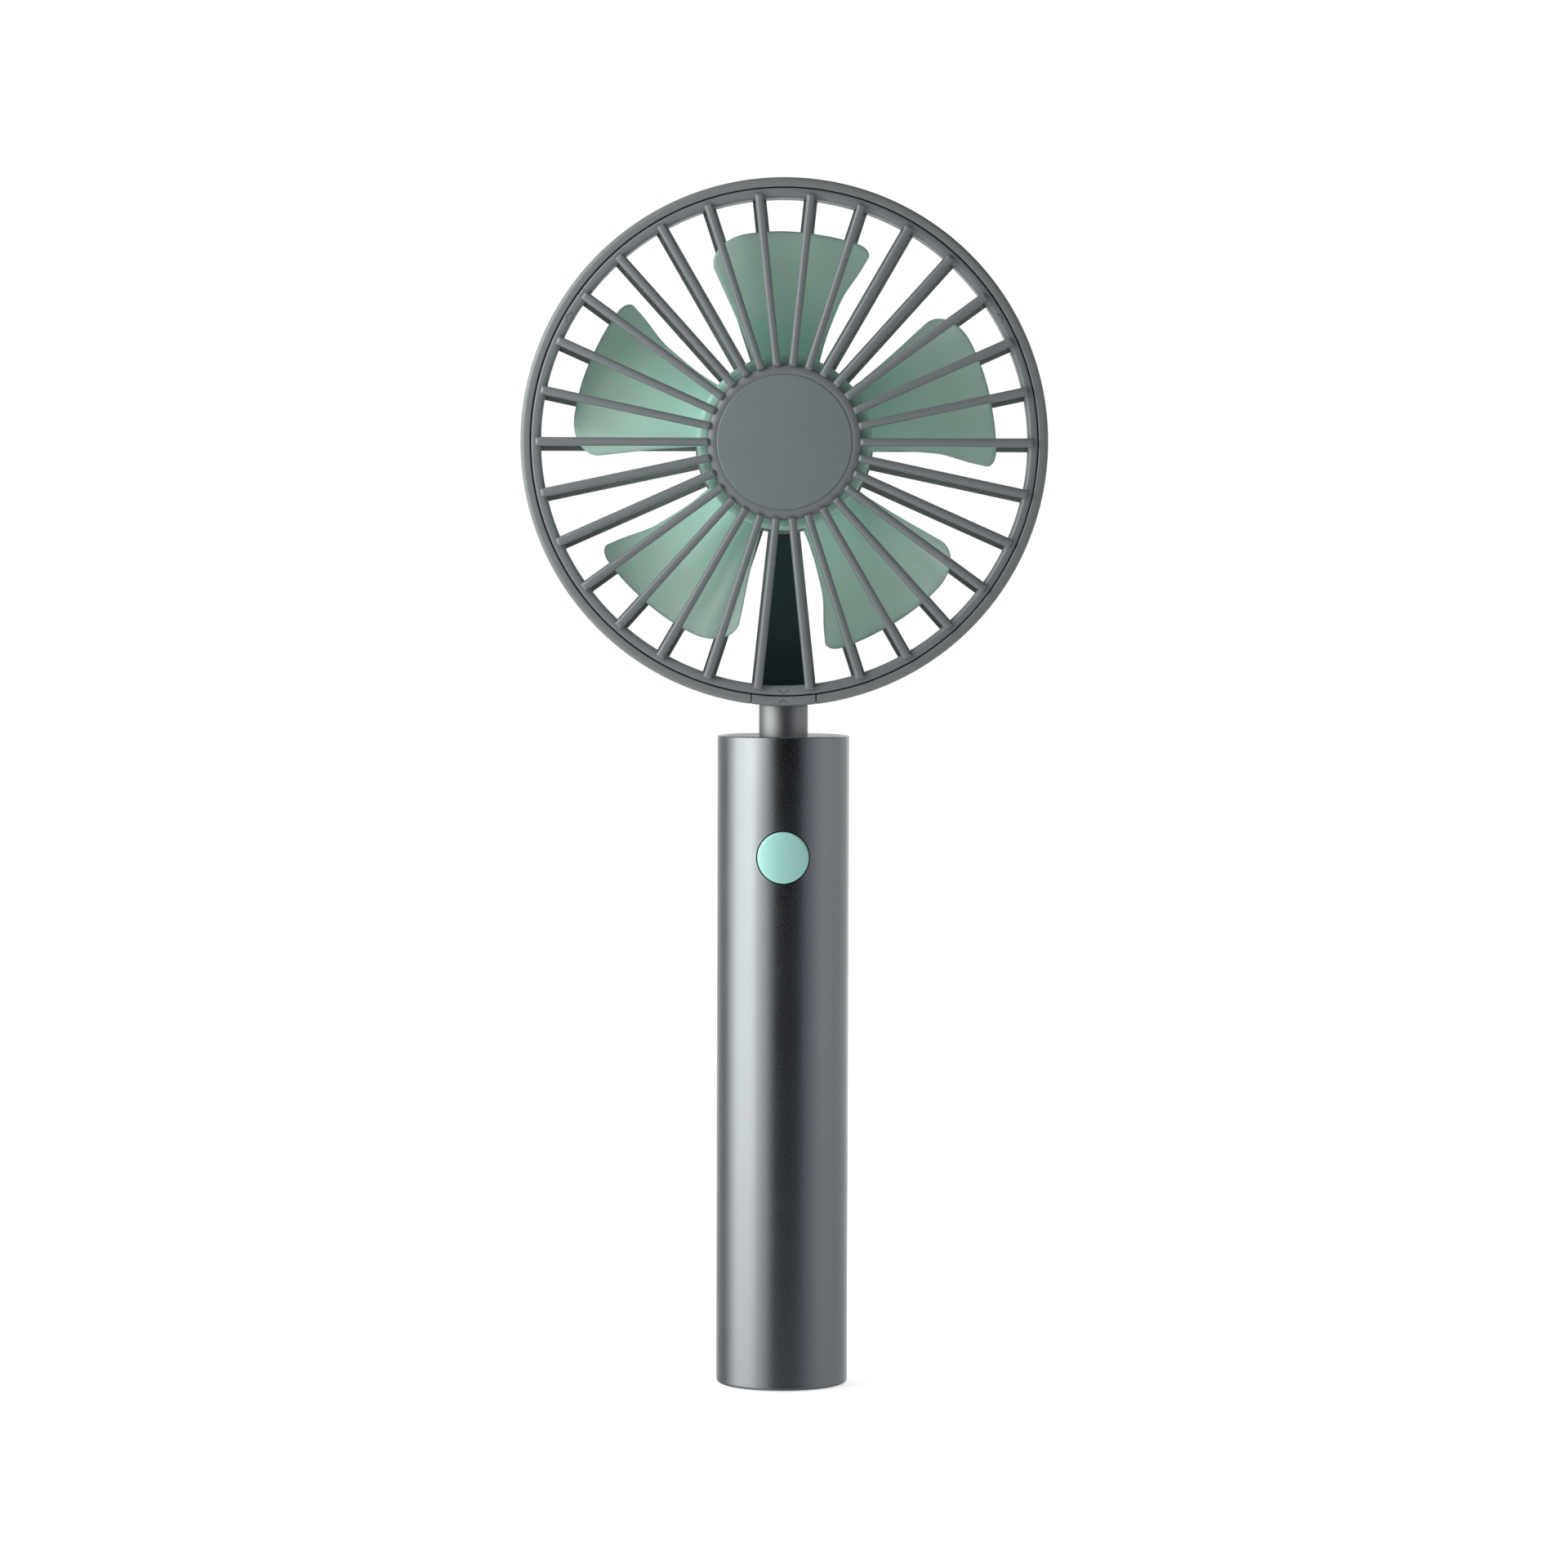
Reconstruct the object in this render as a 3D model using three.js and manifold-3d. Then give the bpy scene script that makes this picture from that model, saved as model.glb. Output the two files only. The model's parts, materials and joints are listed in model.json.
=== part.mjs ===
// Handheld electric fan: tube handle with a rechargeable cell and a control
// board, a short neck, a tilting fan head and a cage with a pull-off front.
//
// Millimetres. +Z up. The front of the fan faces -Y. The origin is the centre
// of the handle's bottom face. Head and hinge parts are drawn in the head's own
// frame, whose origin is the centre of the cage, and placed by their groups.

import * as THREE from 'three';
import { mergeVertices } from 'three/addons/utils/BufferGeometryUtils.js';
import Module from 'manifold-3d';

const wasm = await Module();
wasm.setup();

// ---------------------------------------------------------------- dimensions
const HANDLE_R = 11.0; // outer radius of the aluminium tube
const HANDLE_H = 108.6;
const WALL = 1.2;
const BORE_R = HANDLE_R - WALL;
const CAP_R = BORE_R - 0.05; // end caps are pressed into the tube
const CAP_BEVEL = 0.2;
const TOP_CAP_Z = HANDLE_H - 0.2; // top face of the top cap
const TOP_CAP_T = 2.8;

const CELL_R = 9.2; // 18650 lithium-ion cell
const CELL_H = 65.0;
const CELL_Z = 6.0; // underside of the cell
const CELL_TOP = CELL_Z + CELL_H; // face of the positive button
const CELL_SHOULDER = CELL_TOP - 0.4;
const STRIP_HALF = 2; // half width of the nickel strips

const BOARD_Z0 = 74.3;
const BOARD_Z1 = 102.5;
const BOARD_W = 17.0;
const BOARD_T = 1.6;
const BOARD_SEAT = BOARD_T / 2 + 0.05; // distance of mounted parts from the board's mid plane

const BUTTON_Z = 88.7;
const BUTTON_R = 4.275;
const BUTTON_GAP = 0.2;
const BUTTON_PROUD = 0.6; // how far the button stands out of the tube
const PORT_Z = 82.0;
const PORT_W = 8.94;
const PORT_H = 3.26;
const PORT_GAP = 0.2;
const LAMP_Z = 91.5;
const SIDE_CUT = [5, 12]; // y range of cutters through the tube's rear wall

const NECK_R = 4.0;
const NECK_BORE = 2.6;
const NECK_TOP = 113.5;
const SPIGOT_R = 3.6; // lower part of the neck, inside the top cap
const SPIGOT_HOLE_R = SPIGOT_R + 0.05;
const LEAD_R = 0.42; // motor lead

const HEAD_Z = 157.25; // centre of the cage above the handle's base
const RING_R = 43.5; // outer radius of the cage
const RING_IN = 41.0; // inner wall of the cage
const BEZEL_IN = 41.95; // mouth of the bezel
const FRONT_Y = -10.5; // front face of the bezel and the grille ring
const REAR_Y = 10.6; // back of the cage
const SPOKES = 30; // ribs in each grille

const GRILLE_OUT = 41.65;
const GRILLE_IN = 40.0;
const FRONT_HUB_R = 12.85;
const BADGE_R = 11.15;
const CREST_Y = -11.4; // crest of the front ribs
const FRONT_RIB_HALF = 0.68;
const REAR_HUB_R = 14.9;
const REAR_RIB_HALF = 1.15;

const BLADES = 5;
const ROTOR_R = 14.5;
const TIP_R = 35.5;
const BASE_R = 12; // motor base plate
const SCREW_CIRCLE_R = 9;
const STATOR_Y = [-3.2, 1.8];

const BLOCK_HALF = 5.25; // half width of the hinge block
const NOTCH_HALF = 5.5; // half width of the notch it sits in
const TONGUE_HALF = 4.9; // half width of the block behind its front lip
const SLOT_HALF = 5.15; // half width of the notch behind the lip: too narrow to see through
const LIP_Y = -6.3; // back of the front lip
const TILT_AXIS = [7.2, -41.35]; // [y, z] of the hinge pin
const BARREL_R = 1.7;
const PIN_R = 0.75;
const PIN_HALF = 8.2;

// ------------------------------------------------------------------ finishes
const anodised = { color: 0x3c434a, roughness: 0.35, metalness: 0.85 };
const greyPlastic = { color: 0x6f7476, roughness: 0.5, metalness: 0.15 };
const darkPlastic = { color: 0x2b3031, roughness: 0.55, metalness: 0 };
const mint = { color: 0xa9d8c9, roughness: 0.45, metalness: 0 };
const sage = { color: 0x92b3a5, roughness: 0.45, metalness: 0 };
const steel = { color: 0xb4b8bb, roughness: 0.3, metalness: 0.9 };
const brass = { color: 0xb89a56, roughness: 0.35, metalness: 0.9 };
const copper = { color: 0xb06a3a, roughness: 0.4, metalness: 0.9 };
const nickel = { color: 0xc3c2ba, roughness: 0.35, metalness: 0.9 };
const greenBoard = { color: 0x1f5b3a, roughness: 0.6, metalness: 0 };
const chip = { color: 0x1b1c1e, roughness: 0.6, metalness: 0 };
const foam = { color: 0x2c2d30, roughness: 0.9, metalness: 0 };
const cellBlue = { color: 0x3f6fa5, roughness: 0.4, metalness: 0.1 };
const inductorGrey = { color: 0x4a4b4e, roughness: 0.6, metalness: 0.2 };
const ivory = { color: 0xe6e2d6, roughness: 0.6, metalness: 0 };
const lampWhite = { color: 0xf2f0e4, roughness: 0.4, metalness: 0 };
const paleGuide = { color: 0xe8eef0, roughness: 0.2, metalness: 0 };
const plungerBlack = { color: 0x2a2b2d, roughness: 0.5, metalness: 0 };
const leadRed = { color: 0xb3272d, roughness: 0.6, metalness: 0 };
const leadBlack = { color: 0x202124, roughness: 0.6, metalness: 0 };
const statorGrey = { color: 0x6d7073, roughness: 0.5, metalness: 0.8 };
const magnetGrey = { color: 0x2d2d30, roughness: 0.6, metalness: 0.3 };

// ------------------------------------------------------------------- helpers
const AXIS_X = new THREE.Vector3(1, 0, 0);
const AXIS_Y = new THREE.Vector3(0, 1, 0);
const AXIS_Z = new THREE.Vector3(0, 0, 1);

// A closed geometry as a manifold, facing out.
function solid(geometry) {
  const bare = new THREE.BufferGeometry();
  bare.setAttribute('position', geometry.attributes.position);
  bare.setIndex(geometry.index);
  const merged = mergeVertices(bare, 1e-4);
  const { position } = merged.attributes;
  const index = merged.index.array;
  const corner = (vertex) => new THREE.Vector3().fromBufferAttribute(position, vertex);
  const triangles = [];
  let volume = 0; // six times the signed volume
  for (let i = 0; i < index.length; i += 3) {
    const [first, second, third] = index.slice(i, i + 3);
    if (first === second || second === third || third === first) continue;
    triangles.push([first, second, third]);
    volume += corner(first).dot(corner(second).cross(corner(third)));
  }
  if (volume < 0) triangles.forEach((triangle) => triangle.reverse());
  return new wasm.Manifold(new wasm.Mesh({
    numProp: 3,
    vertProperties: Float32Array.from(position.array),
    triVerts: Uint32Array.from(triangles.flat()),
  }));
}

function geometryOf(manifold) {
  const mesh = manifold.getMesh();
  const geometry = new THREE.BufferGeometry();
  const positions = Float32Array.from(mesh.vertProperties);
  geometry.setAttribute('position', new THREE.BufferAttribute(positions, 3));
  geometry.setIndex(new THREE.BufferAttribute(Uint32Array.from(mesh.triVerts), 1));
  const flat = geometry.toNonIndexed();
  flat.computeVertexNormals();
  return flat;
}

function part(group, name, finish, manifold) {
  const material = new THREE.MeshStandardMaterial({ ...finish, flatShading: true });
  const mesh = new THREE.Mesh(geometryOf(manifold), material);
  mesh.name = name;
  group.add(mesh);
}

const join = (...list) => list.reduce((sum, item) => sum.add(item));
const cut = (body, ...tools) => tools.reduce((rest, tool) => rest.subtract(tool), body);
const bothSides = (manifold) => join(manifold, manifold.mirror([1, 0, 0]));
const span = (half, centre = 0) => [centre - half, centre + half];
const vectors = (outline) => outline.map(([first, second]) => new THREE.Vector2(first, second));

// Profile of [radius, height] turned about an axis. It either starts and ends
// on the axis or is closed on itself here.
function lathe(profile, segments) {
  const points = vectors(profile);
  if (profile[0][0] > 1e-9 || profile.at(-1)[0] > 1e-9) points.push(points[0].clone());
  return new THREE.LatheGeometry(points, segments);
}
const turnY = (profile, segments) => solid(lathe(profile, segments));
const turnZ = (profile, segments) => solid(lathe(profile, segments).rotateX(Math.PI / 2));

// Box from its range on each axis.
function box([x0, x1], [y0, y1], [z0, z1]) {
  return solid(new THREE.BoxGeometry(x1 - x0, y1 - y0, z1 - z0)
    .translate((x0 + x1) / 2, (y0 + y1) / 2, (z0 + z1) / 2));
}

// Cylinder along an axis; the centre is given on the other two axes, in x, y, z order.
function rod(axis, radius, [from, to], segments, [first, second] = [0, 0]) {
  const geometry = new THREE.CylinderGeometry(radius, radius, to - from, segments);
  const middle = (from + to) / 2;
  if (axis === 'x') geometry.rotateZ(Math.PI / 2).translate(middle, first, second);
  if (axis === 'y') geometry.translate(first, middle, second);
  if (axis === 'z') geometry.rotateX(Math.PI / 2).translate(first, second, middle);
  return solid(geometry);
}

function extrude(outline, depth, ...axes) {
  return new THREE.ExtrudeGeometry(new THREE.Shape(vectors(outline)), { depth, bevelEnabled: false })
    .applyMatrix4(new THREE.Matrix4().makeBasis(...axes));
}
// Outline of [y, z] given a range in x.
const plateX = (outline, [x0, x1]) =>
  solid(extrude(outline, x1 - x0, AXIS_Y, AXIS_Z, AXIS_X).translate(x0, 0, 0));
// Outline of [x, z] given a range in y.
const plateY = (outline, [y0, y1]) =>
  solid(extrude(outline, y1 - y0, AXIS_X, AXIS_Z, AXIS_Y).translate(0, y0, 0));

// Six-sided lead along a list of points.
function leadWire(points, steps) {
  const stations = points.map((point) => new THREE.Vector3(...point));
  const extrudePath = new THREE.CatmullRomCurve3(stations, false, 'centripetal');
  const sides = 6;
  const ring = Array.from({ length: sides }, (_, i) => {
    const angle = (i / sides) * 2 * Math.PI;
    return [LEAD_R * Math.cos(angle), LEAD_R * Math.sin(angle)];
  });
  const section = new THREE.Shape(vectors(ring));
  return solid(new THREE.ExtrudeGeometry(section, { steps, extrudePath, bevelEnabled: false }));
}
// Red lead on -X and black lead on +X, from the black lead's points.
function leadPair(group, prefix, points, steps) {
  const redPoints = points.map(([x, y, z]) => [-x, y, z]);
  part(group, `${prefix}_red`, leadRed, leadWire(redPoints, steps));
  part(group, `${prefix}_black`, leadBlack, leadWire(points, steps));
}

// Turn about the fan's own axis: 0 is +X, angles run towards +Z, in degrees.
const aboutFan = (manifold, degrees) => manifold.rotate([0, -degrees, 0]);
const around = (manifold, angles) => angles.map((angle) => aboutFan(manifold, angle));
const evenAngles = (count, start = 0) =>
  Array.from({ length: count }, (_, i) => start + (i * 360) / count);

const SPOKE_ANGLES = evenAngles(SPOKES);
const TAB_ANGLES = evenAngles(3, 30);
const SCREW_ANGLES = evenAngles(3, 90);
const POLE_ANGLES = evenAngles(4, 45);

// -------------------------------------------------------------------- groups
const fan = new THREE.Group();
fan.name = 'handheld_fan';
const handle = new THREE.Group();
const head = new THREE.Group();
const hinge = new THREE.Group();
head.position.set(0, 0, HEAD_Z);
hinge.position.set(0, 0, HEAD_Z);
fan.add(handle, head);
handle.add(hinge);

// ------------------------------------------------------------ tube and caps
// Slot with round ends at the charging port, grown or shrunk by an offset.
function portSlot(offset, yRange) {
  const endR = PORT_H / 2 + offset;
  const endX = PORT_W / 2 + offset - endR;
  return join(
    box(span(endX), yRange, span(endR, PORT_Z)),
    rod('y', endR, yRange, 16, [-endX, PORT_Z]),
    rod('y', endR, yRange, 16, [endX, PORT_Z]));
}
part(handle, 'handle_tube', anodised, cut(
  turnZ([
    [BORE_R, 0], [HANDLE_R - 0.55, 0], [HANDLE_R, 0.55],
    [HANDLE_R, HANDLE_H - 0.3], [HANDLE_R - 0.3, HANDLE_H], [BORE_R, HANDLE_H],
  ], 48),
  rod('y', BUTTON_R + BUTTON_GAP, [-12, 0], 32, [0, BUTTON_Z]),
  portSlot(PORT_GAP, SIDE_CUT),
  rod('y', 0.95, SIDE_CUT, 16, [0, LAMP_Z])));

// Top cap with a bore for the neck's spigot.
part(handle, 'handle_top_cap', greyPlastic, turnZ([
  [SPIGOT_HOLE_R, TOP_CAP_Z - TOP_CAP_T], [CAP_R, TOP_CAP_Z - TOP_CAP_T],
  [CAP_R, TOP_CAP_Z - CAP_BEVEL], [CAP_R - CAP_BEVEL, TOP_CAP_Z], [SPIGOT_HOLE_R, TOP_CAP_Z],
], 48));
// Bottom cap: a disc with a short skirt that grips the tube from inside.
part(handle, 'handle_bottom_cap', darkPlastic, turnZ([
  [0, 0], [CAP_R - CAP_BEVEL, 0], [CAP_R, CAP_BEVEL], [CAP_R, 3.0], [8.4, 3.0], [8.4, 1.8], [0, 1.8],
], 48));
part(handle, 'battery_foam_pad', foam, turnZ([[0, 1.85], [8.2, 1.85], [8.2, 5.2], [0, 5.2]], 24));

// ------------------------------------------------------------------- battery
// Cell with a raised positive button.
part(handle, 'battery_cell', cellBlue, turnZ([
  [0, CELL_Z], [CELL_R - 0.5, CELL_Z], [CELL_R, CELL_Z + 0.5],
  [CELL_R, CELL_SHOULDER - 0.5], [CELL_R - 0.5, CELL_SHOULDER],
  [3.2, CELL_SHOULDER], [3.2, CELL_TOP], [0, CELL_TOP],
], 40));
// Strip from under the cell, up its side and over to the board.
part(handle, 'battery_strip_negative', nickel, join(
  box(span(STRIP_HALF), [-4, 9.47], [5.5, 5.8]),
  box(span(STRIP_HALF), [9.27, 9.47], [5.5, 75.0]),
  box(span(STRIP_HALF), [1.0, 9.47], [74.8, 75.0])));
// Strip from the positive button up to the board.
part(handle, 'battery_strip_positive', nickel, join(
  box(span(STRIP_HALF), span(2.2), [71.1, 71.3]),
  box(span(STRIP_HALF), [-2.2, -2.0], [71.1, 76.5]),
  box(span(STRIP_HALF), [-2.2, -0.95], [76.3, 76.5])));

// ------------------------------------------------------------- control board
{
  // Carrier: a disc over the cell with two slotted rails for the board.
  const disc = turnZ([[0, 71.9], [9.5, 71.9], [9.5, 73.9], [0, 73.9]], 40);
  const rail = cut(
    box([7.5, 9.2], span(1.9), [73.0, 104.8]),
    box([7.0, BOARD_W / 2 + 0.15], span(BOARD_T / 2 + 0.1), [BOARD_Z0 - 0.2, 105]));
  const slotX = span(STRIP_HALF + 0.3);
  const positiveSlot = box(slotX, [-2.6, -1.6], [71, 74.2]);
  const negativeSlot = box(slotX, [9.0, 10], [71, 74.2]);
  part(handle, 'board_carrier', darkPlastic,
    cut(join(disc, bothSides(rail)), positiveSlot, negativeSlot));
}
part(handle, 'control_board', greenBoard,
  box(span(BOARD_W / 2), span(BOARD_T / 2), [BOARD_Z0, BOARD_Z1]));
part(handle, 'motor_driver_chip', chip, box([-6.6, -2.7], [-2.25, -BOARD_SEAT], [78.2, 83.2]));
part(handle, 'boost_inductor', inductorGrey, cut(
  box([1.6, 5.8], [-3.0, -BOARD_SEAT], [78.4, 82.6]),
  rod('y', 0.7, [-3.2, -2.6], 12, [3.7, 80.5])));
part(handle, 'charger_chip', chip, box([-6.8, -2.9], [BOARD_SEAT, 2.25], [88.2, 93.2]));
// Socket on the front of the board, mouth up.
part(handle, 'motor_lead_socket', ivory, cut(
  box(span(2.6), [-4.2, -BOARD_SEAT], [96.2, 100.6]),
  box(span(2.1), [-3.7, -1.5], [98.0, 101])));

// Tactile switch under the button: body and snap dome.
part(handle, 'switch_body', chip, cut(
  box(span(3), [-3.9, -BOARD_SEAT], span(3, BUTTON_Z)),
  rod('y', 1.65, [-5, -1.7], 20, [0, BUTTON_Z]),
  rod('y', 2.4, [-2.3, -1.25], 20, [0, BUTTON_Z])));
part(handle, 'switch_dome', steel, turnY([
  [0, -1.62], [1.2, -1.55], [2.2, -1.32], [2.2, -1.27], [1.9, -1.27], [1.1, -1.42], [0, -1.5],
], 16).translate([0, 0, BUTTON_Z]));

// Charging socket: rounded steel shell with a tongue inside.
part(handle, 'charging_socket', steel, join(
  cut(portSlot(0, [BOARD_SEAT, 9.9]), portSlot(-0.3, [3.6, 10.5])),
  box(span(3.35), [3.5, 8.9], span(0.35, PORT_Z))));
part(handle, 'charge_lamp', lampWhite, box(span(0.8), [BOARD_SEAT, 1.6], span(0.4, LAMP_Z)));
part(handle, 'lamp_light_guide', paleGuide, turnY([
  [0, 1.7], [1.3, 1.7], [1.3, 8.6], [0.88, 8.6], [0.88, 10.8], [0.6, 10.95], [0, 10.95],
], 16).translate([0, 0, LAMP_Z]));

// -------------------------------------------------------------------- button
{
  // The cap has a retaining flange and a stem; its face follows the tube's curve.
  const cap = turnY([
    [0, -12], [BUTTON_R, -12], [BUTTON_R, -8.0], [5.2, -8.0], [5.2, -7.2],
    [1.6, -7.2], [1.6, -4.8], [0, -4.8],
  ], 32).translate([0, 0, BUTTON_Z]);
  const face = rod('z', HANDLE_R + BUTTON_PROUD, span(8, BUTTON_Z), 80);
  part(handle, 'button_cap', mint, cap.intersect(face));
}
part(handle, 'switch_plunger', plungerBlack, turnY([
  [0, -4.75], [1.3, -4.75], [1.5, -4.55], [1.5, -2.35], [0, -2.35],
], 16).translate([0, 0, BUTTON_Z]));

// ---------------------------------------------------------------------- neck
// Metal tube with a shoulder that sits on the top cap.
part(handle, 'neck_tube', steel, turnZ([
  [NECK_BORE, 102.9], [SPIGOT_R, 102.9], [SPIGOT_R, TOP_CAP_Z + 0.05],
  [NECK_R, TOP_CAP_Z + 0.05], [NECK_R, NECK_TOP], [NECK_BORE, NECK_TOP],
], 40));
part(handle, 'neck_nut', brass, cut(
  rod('z', 6.0, [103.2, 105.5], 6),
  rod('z', SPIGOT_HOLE_R, [102, 107], 32)));
leadPair(handle, 'motor_lead', [
  [0.6, -2.6, 98.2], [0.6, -2.6, 101.0], [0.55, -1.2, 103.0], [0.55, 0, 105.2], [0.55, 0, 112.9],
], 16);

// --------------------------------------------------------------------- hinge
// Outside of the cage's rim, front to back: [radius, y].
const RIM = [
  [BEZEL_IN, FRONT_Y + 0.2], [42.2, FRONT_Y], [42.95, FRONT_Y], [43.35, FRONT_Y + 0.2],
  [RING_R, FRONT_Y + 0.7], [RING_R, 8.6], [42.7, 10.1], [41.2, REAR_Y],
];
// Arrow of two strokes that meet on the centre line, pointing to +Z: [x, z].
const CHEVRON = [[0, 0.4], [0.95, -0.24], [0.78, -0.42], [0, 0.1], [-0.78, -0.42], [-0.95, -0.24]];
// Arrow cutter for a front face; direction 1 points to +Z, -1 to -Z.
const chevron = (centreZ, direction, depth) => plateY(
  CHEVRON.map(([x, z]) => [x, z * direction + centreZ]), [FRONT_Y - 1, FRONT_Y + depth]);
{
  // Block that carries the hinge barrel and fills the gap in the rim.
  const rim = turnY([
    ...RIM.slice(0, 5), [RING_R, 5.6], [42.0, 5.6], [42.0, -8.4], [BEZEL_IN, -8.4],
  ], 60).intersect(join(
    box(span(BLOCK_HALF), [-12, LIP_Y], [-45, -38]),
    box(span(TONGUE_HALF), [LIP_Y - 0.2, 12], [-45, -38])));
  // Web under the barrel, outline in [y, z], held within the rim and the barrel.
  const web = plateX([
    [4.6, -43.2], [5.6, -43.2], [7.2, -43.04], [7.2, -41.2], [5.75, -41.75], [4.6, -41.95],
  ], span(TONGUE_HALF)).intersect(join(
    turnY([[41.6, 4], [43.45, 4], [43.45, 8], [41.6, 8]], 60),
    rod('x', BARREL_R - 0.01, span(TONGUE_HALF), 32, TILT_AXIS)));
  const barrel = rod('x', BARREL_R, span(TONGUE_HALF), 32, TILT_AXIS);
  // Foot on the neck's end and spigot in its bore.
  const foot = rod('z', NECK_R, [NECK_TOP + 0.05 - HEAD_Z, 114.6 - HEAD_Z], 48);
  const spigot = rod('z', NECK_BORE - 0.05, [109.5 - HEAD_Z, 114.0 - HEAD_Z], 32);
  part(hinge, 'hinge_block', greyPlastic, cut(join(rim, web, barrel, foot, spigot),
    rod('z', 1.3, [109 - HEAD_Z, 114.9 - HEAD_Z], 20),
    rod('x', PIN_R + 0.04, span(8), 20, TILT_AXIS),
    chevron(-42.7, 1, 0.3)));
}
part(hinge, 'hinge_pin', steel, rod('x', PIN_R, span(PIN_HALF), 20, TILT_AXIS));

// ----------------------------------------------------------------- rear cage
// Half width of the arm between the two lowest ribs.
const armHalf = (radius) => radius * Math.sin(Math.PI / SPOKES) + REAR_RIB_HALF;
// Outline of [x, z] down the arm, set in from its edges.
function armInset(inner, outer, inset) {
  const innerHalf = armHalf(inner) - inset;
  const outerHalf = armHalf(outer) - inset;
  return [[-innerHalf, -inner], [innerHalf, -inner], [outerHalf, -outer], [-outerHalf, -outer]];
}
{
  const rim = turnY([
    ...RIM, [RING_IN, REAR_Y], [RING_IN, -6.6], [40.4, -7.2], [40.4, -8.2], [BEZEL_IN, -8.2],
  ], 60);
  const hub = turnY([
    [0, 8.2], [3.6, 8.2], [3.6, 6.2], [12.3, 6.2], [12.3, 4.2], [REAR_HUB_R, 4.2],
    [REAR_HUB_R, 10.2], [14.5, REAR_Y], [12.75, REAR_Y], [12.75, 9.6], [0, 9.6],
  ], 40);
  const rib = box([13.5, 41.6], [8.4, REAR_Y], span(REAR_RIB_HALF));
  // The arm carries the motor lead.
  const arm = plateY([
    [-armHalf(14), -14], [armHalf(14), -14], [armHalf(41.4), -41.3], [-armHalf(41.4), -41.3],
  ], [5.4, REAR_Y]);
  // Bosses for the hinge pin, on both sides of the notch.
  const bosses = turnY([[40.35, 4.9], [43.2, 4.9], [43.2, 9.4], [40.35, 9.4]], 60)
    .intersect(bothSides(box([SLOT_HALF, 9.4], [4, 10], [-45, -38])));
  // Notch for the hinge block.
  const notch = turnY([[41.7, -12], [46, -12], [46, 12], [41.7, 12]], 60).intersect(join(
    box(span(NOTCH_HALF), [-13, LIP_Y + 0.25], [-47, -38]),
    box(span(SLOT_HALF), [LIP_Y, 13], [-47, -38])));
  const barrelSeat = rod('x', BARREL_R + 0.25, span(SLOT_HALF), 32, TILT_AXIS);
  // The pin goes in from +X.
  const pinBore = rod('x', PIN_R + 0.06, [-PIN_HALF - 0.2, 16], 20, TILT_AXIS);
  const leadChannel = box(span(1.3), [6.0, 8.2], [-39.8, -9.4]);
  const coverRebate = plateY(armInset(15.1, 39.1, 0.4), [5.0, 6.2]);
  // Notches in the ledge for the grille's tabs.
  const tabNotch = box([40.0, 41.2], [-8.6, -6.0], span(2.9));
  const screwHole = rod('y', 0.95, [5.5, 9.8], 10, [SCREW_CIRCLE_R, 0]);
  const counterbore = rod('y', 1.75, [8.5, 9.8], 12, [SCREW_CIRCLE_R, 0]);
  part(head, 'rear_cage', greyPlastic, cut(
    join(rim, hub, ...around(rib, SPOKE_ANGLES), arm, bosses),
    notch, barrelSeat, pinBore, leadChannel, coverRebate,
    ...around(tabNotch, TAB_ANGLES),
    ...around(screwHole, SCREW_ANGLES),
    ...around(counterbore, SCREW_ANGLES)));
}
part(head, 'lead_cover', darkPlastic, plateY(armInset(15.2, 39, 0.5), [5.4, 6.15]));
part(head, 'rear_hub_cap', greyPlastic,
  turnY([[0, 9.65], [12.5, 9.65], [12.5, 10.5], [0, 10.5]], 40));

// --------------------------------------------------------------------- motor
// Base plate with screw holes and a notch for the lead.
part(head, 'motor_base', steel, cut(
  turnY([[3.5, 4.9], [BASE_R, 4.9], [BASE_R, 6.1], [3.5, 6.1]], 40),
  box(span(1.4), [4, 7], [-13, -9.6]),
  ...around(rod('y', 0.9, [4, 7], 12, [SCREW_CIRCLE_R, 0]), SCREW_ANGLES)));
part(head, 'bearing_tube', brass, turnY([[2.55, -3.4], [3.45, -3.4], [3.45, 7.8], [2.55, 7.8]], 40));
for (const [name, y] of [['bearing_front', -3.2], ['bearing_rear', 4.3]]) {
  part(head, name, steel, turnY([[1.05, y], [2.5, y], [2.5, y + 2.3], [1.05, y + 2.3]], 24));
}
{
  // Screw with a cross slot in its head.
  const screw = cut(
    turnY([[0, 5.1], [0.8, 5.1], [0.8, 8.55], [1.55, 8.55], [1.55, 9.45], [0, 9.45]], 12),
    box(span(0.95), [9.0, 10], span(0.2)),
    box(span(0.2), [9.0, 10], span(0.95))).translate([SCREW_CIRCLE_R, 0, 0]);
  around(screw, SCREW_ANGLES).forEach((item, i) => part(head, `motor_screw_${i + 1}`, steel, item));
}
part(head, 'motor_board', greenBoard, cut(
  turnY([[3.6, 3.7], [11.2, 3.7], [11.2, 4.7], [3.6, 4.7]], 40),
  box(span(1.6), [3, 5.5], [-12, -10.6])));
{
  // Four-pole stator with a curved shoe on each pole.
  const [front, back] = STATOR_Y;
  const core = turnY([[3.5, front], [5.0, front], [5.0, back], [3.5, back]], 40);
  const poles = around(box([4.6, 9.6], STATOR_Y, span(1.5)), POLE_ANGLES);
  const shoes = turnY([[9.2, front], [10.5, front], [10.5, back], [9.2, back]], 48)
    .intersect(join(...around(box([6.9, 12], [-4, 3], span(6.2)), POLE_ANGLES)));
  part(head, 'stator_core', statorGrey, join(core, ...poles, shoes));
}
{
  const coil = cut(
    box([5.5, 8.7], [-4.3, 2.9], span(2.7)),
    box([5, 9], [-3.3, 1.9], span(1.6)));
  around(coil, POLE_ANGLES).forEach((item, i) => part(head, `motor_coil_${i + 1}`, copper, item));
}
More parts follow.
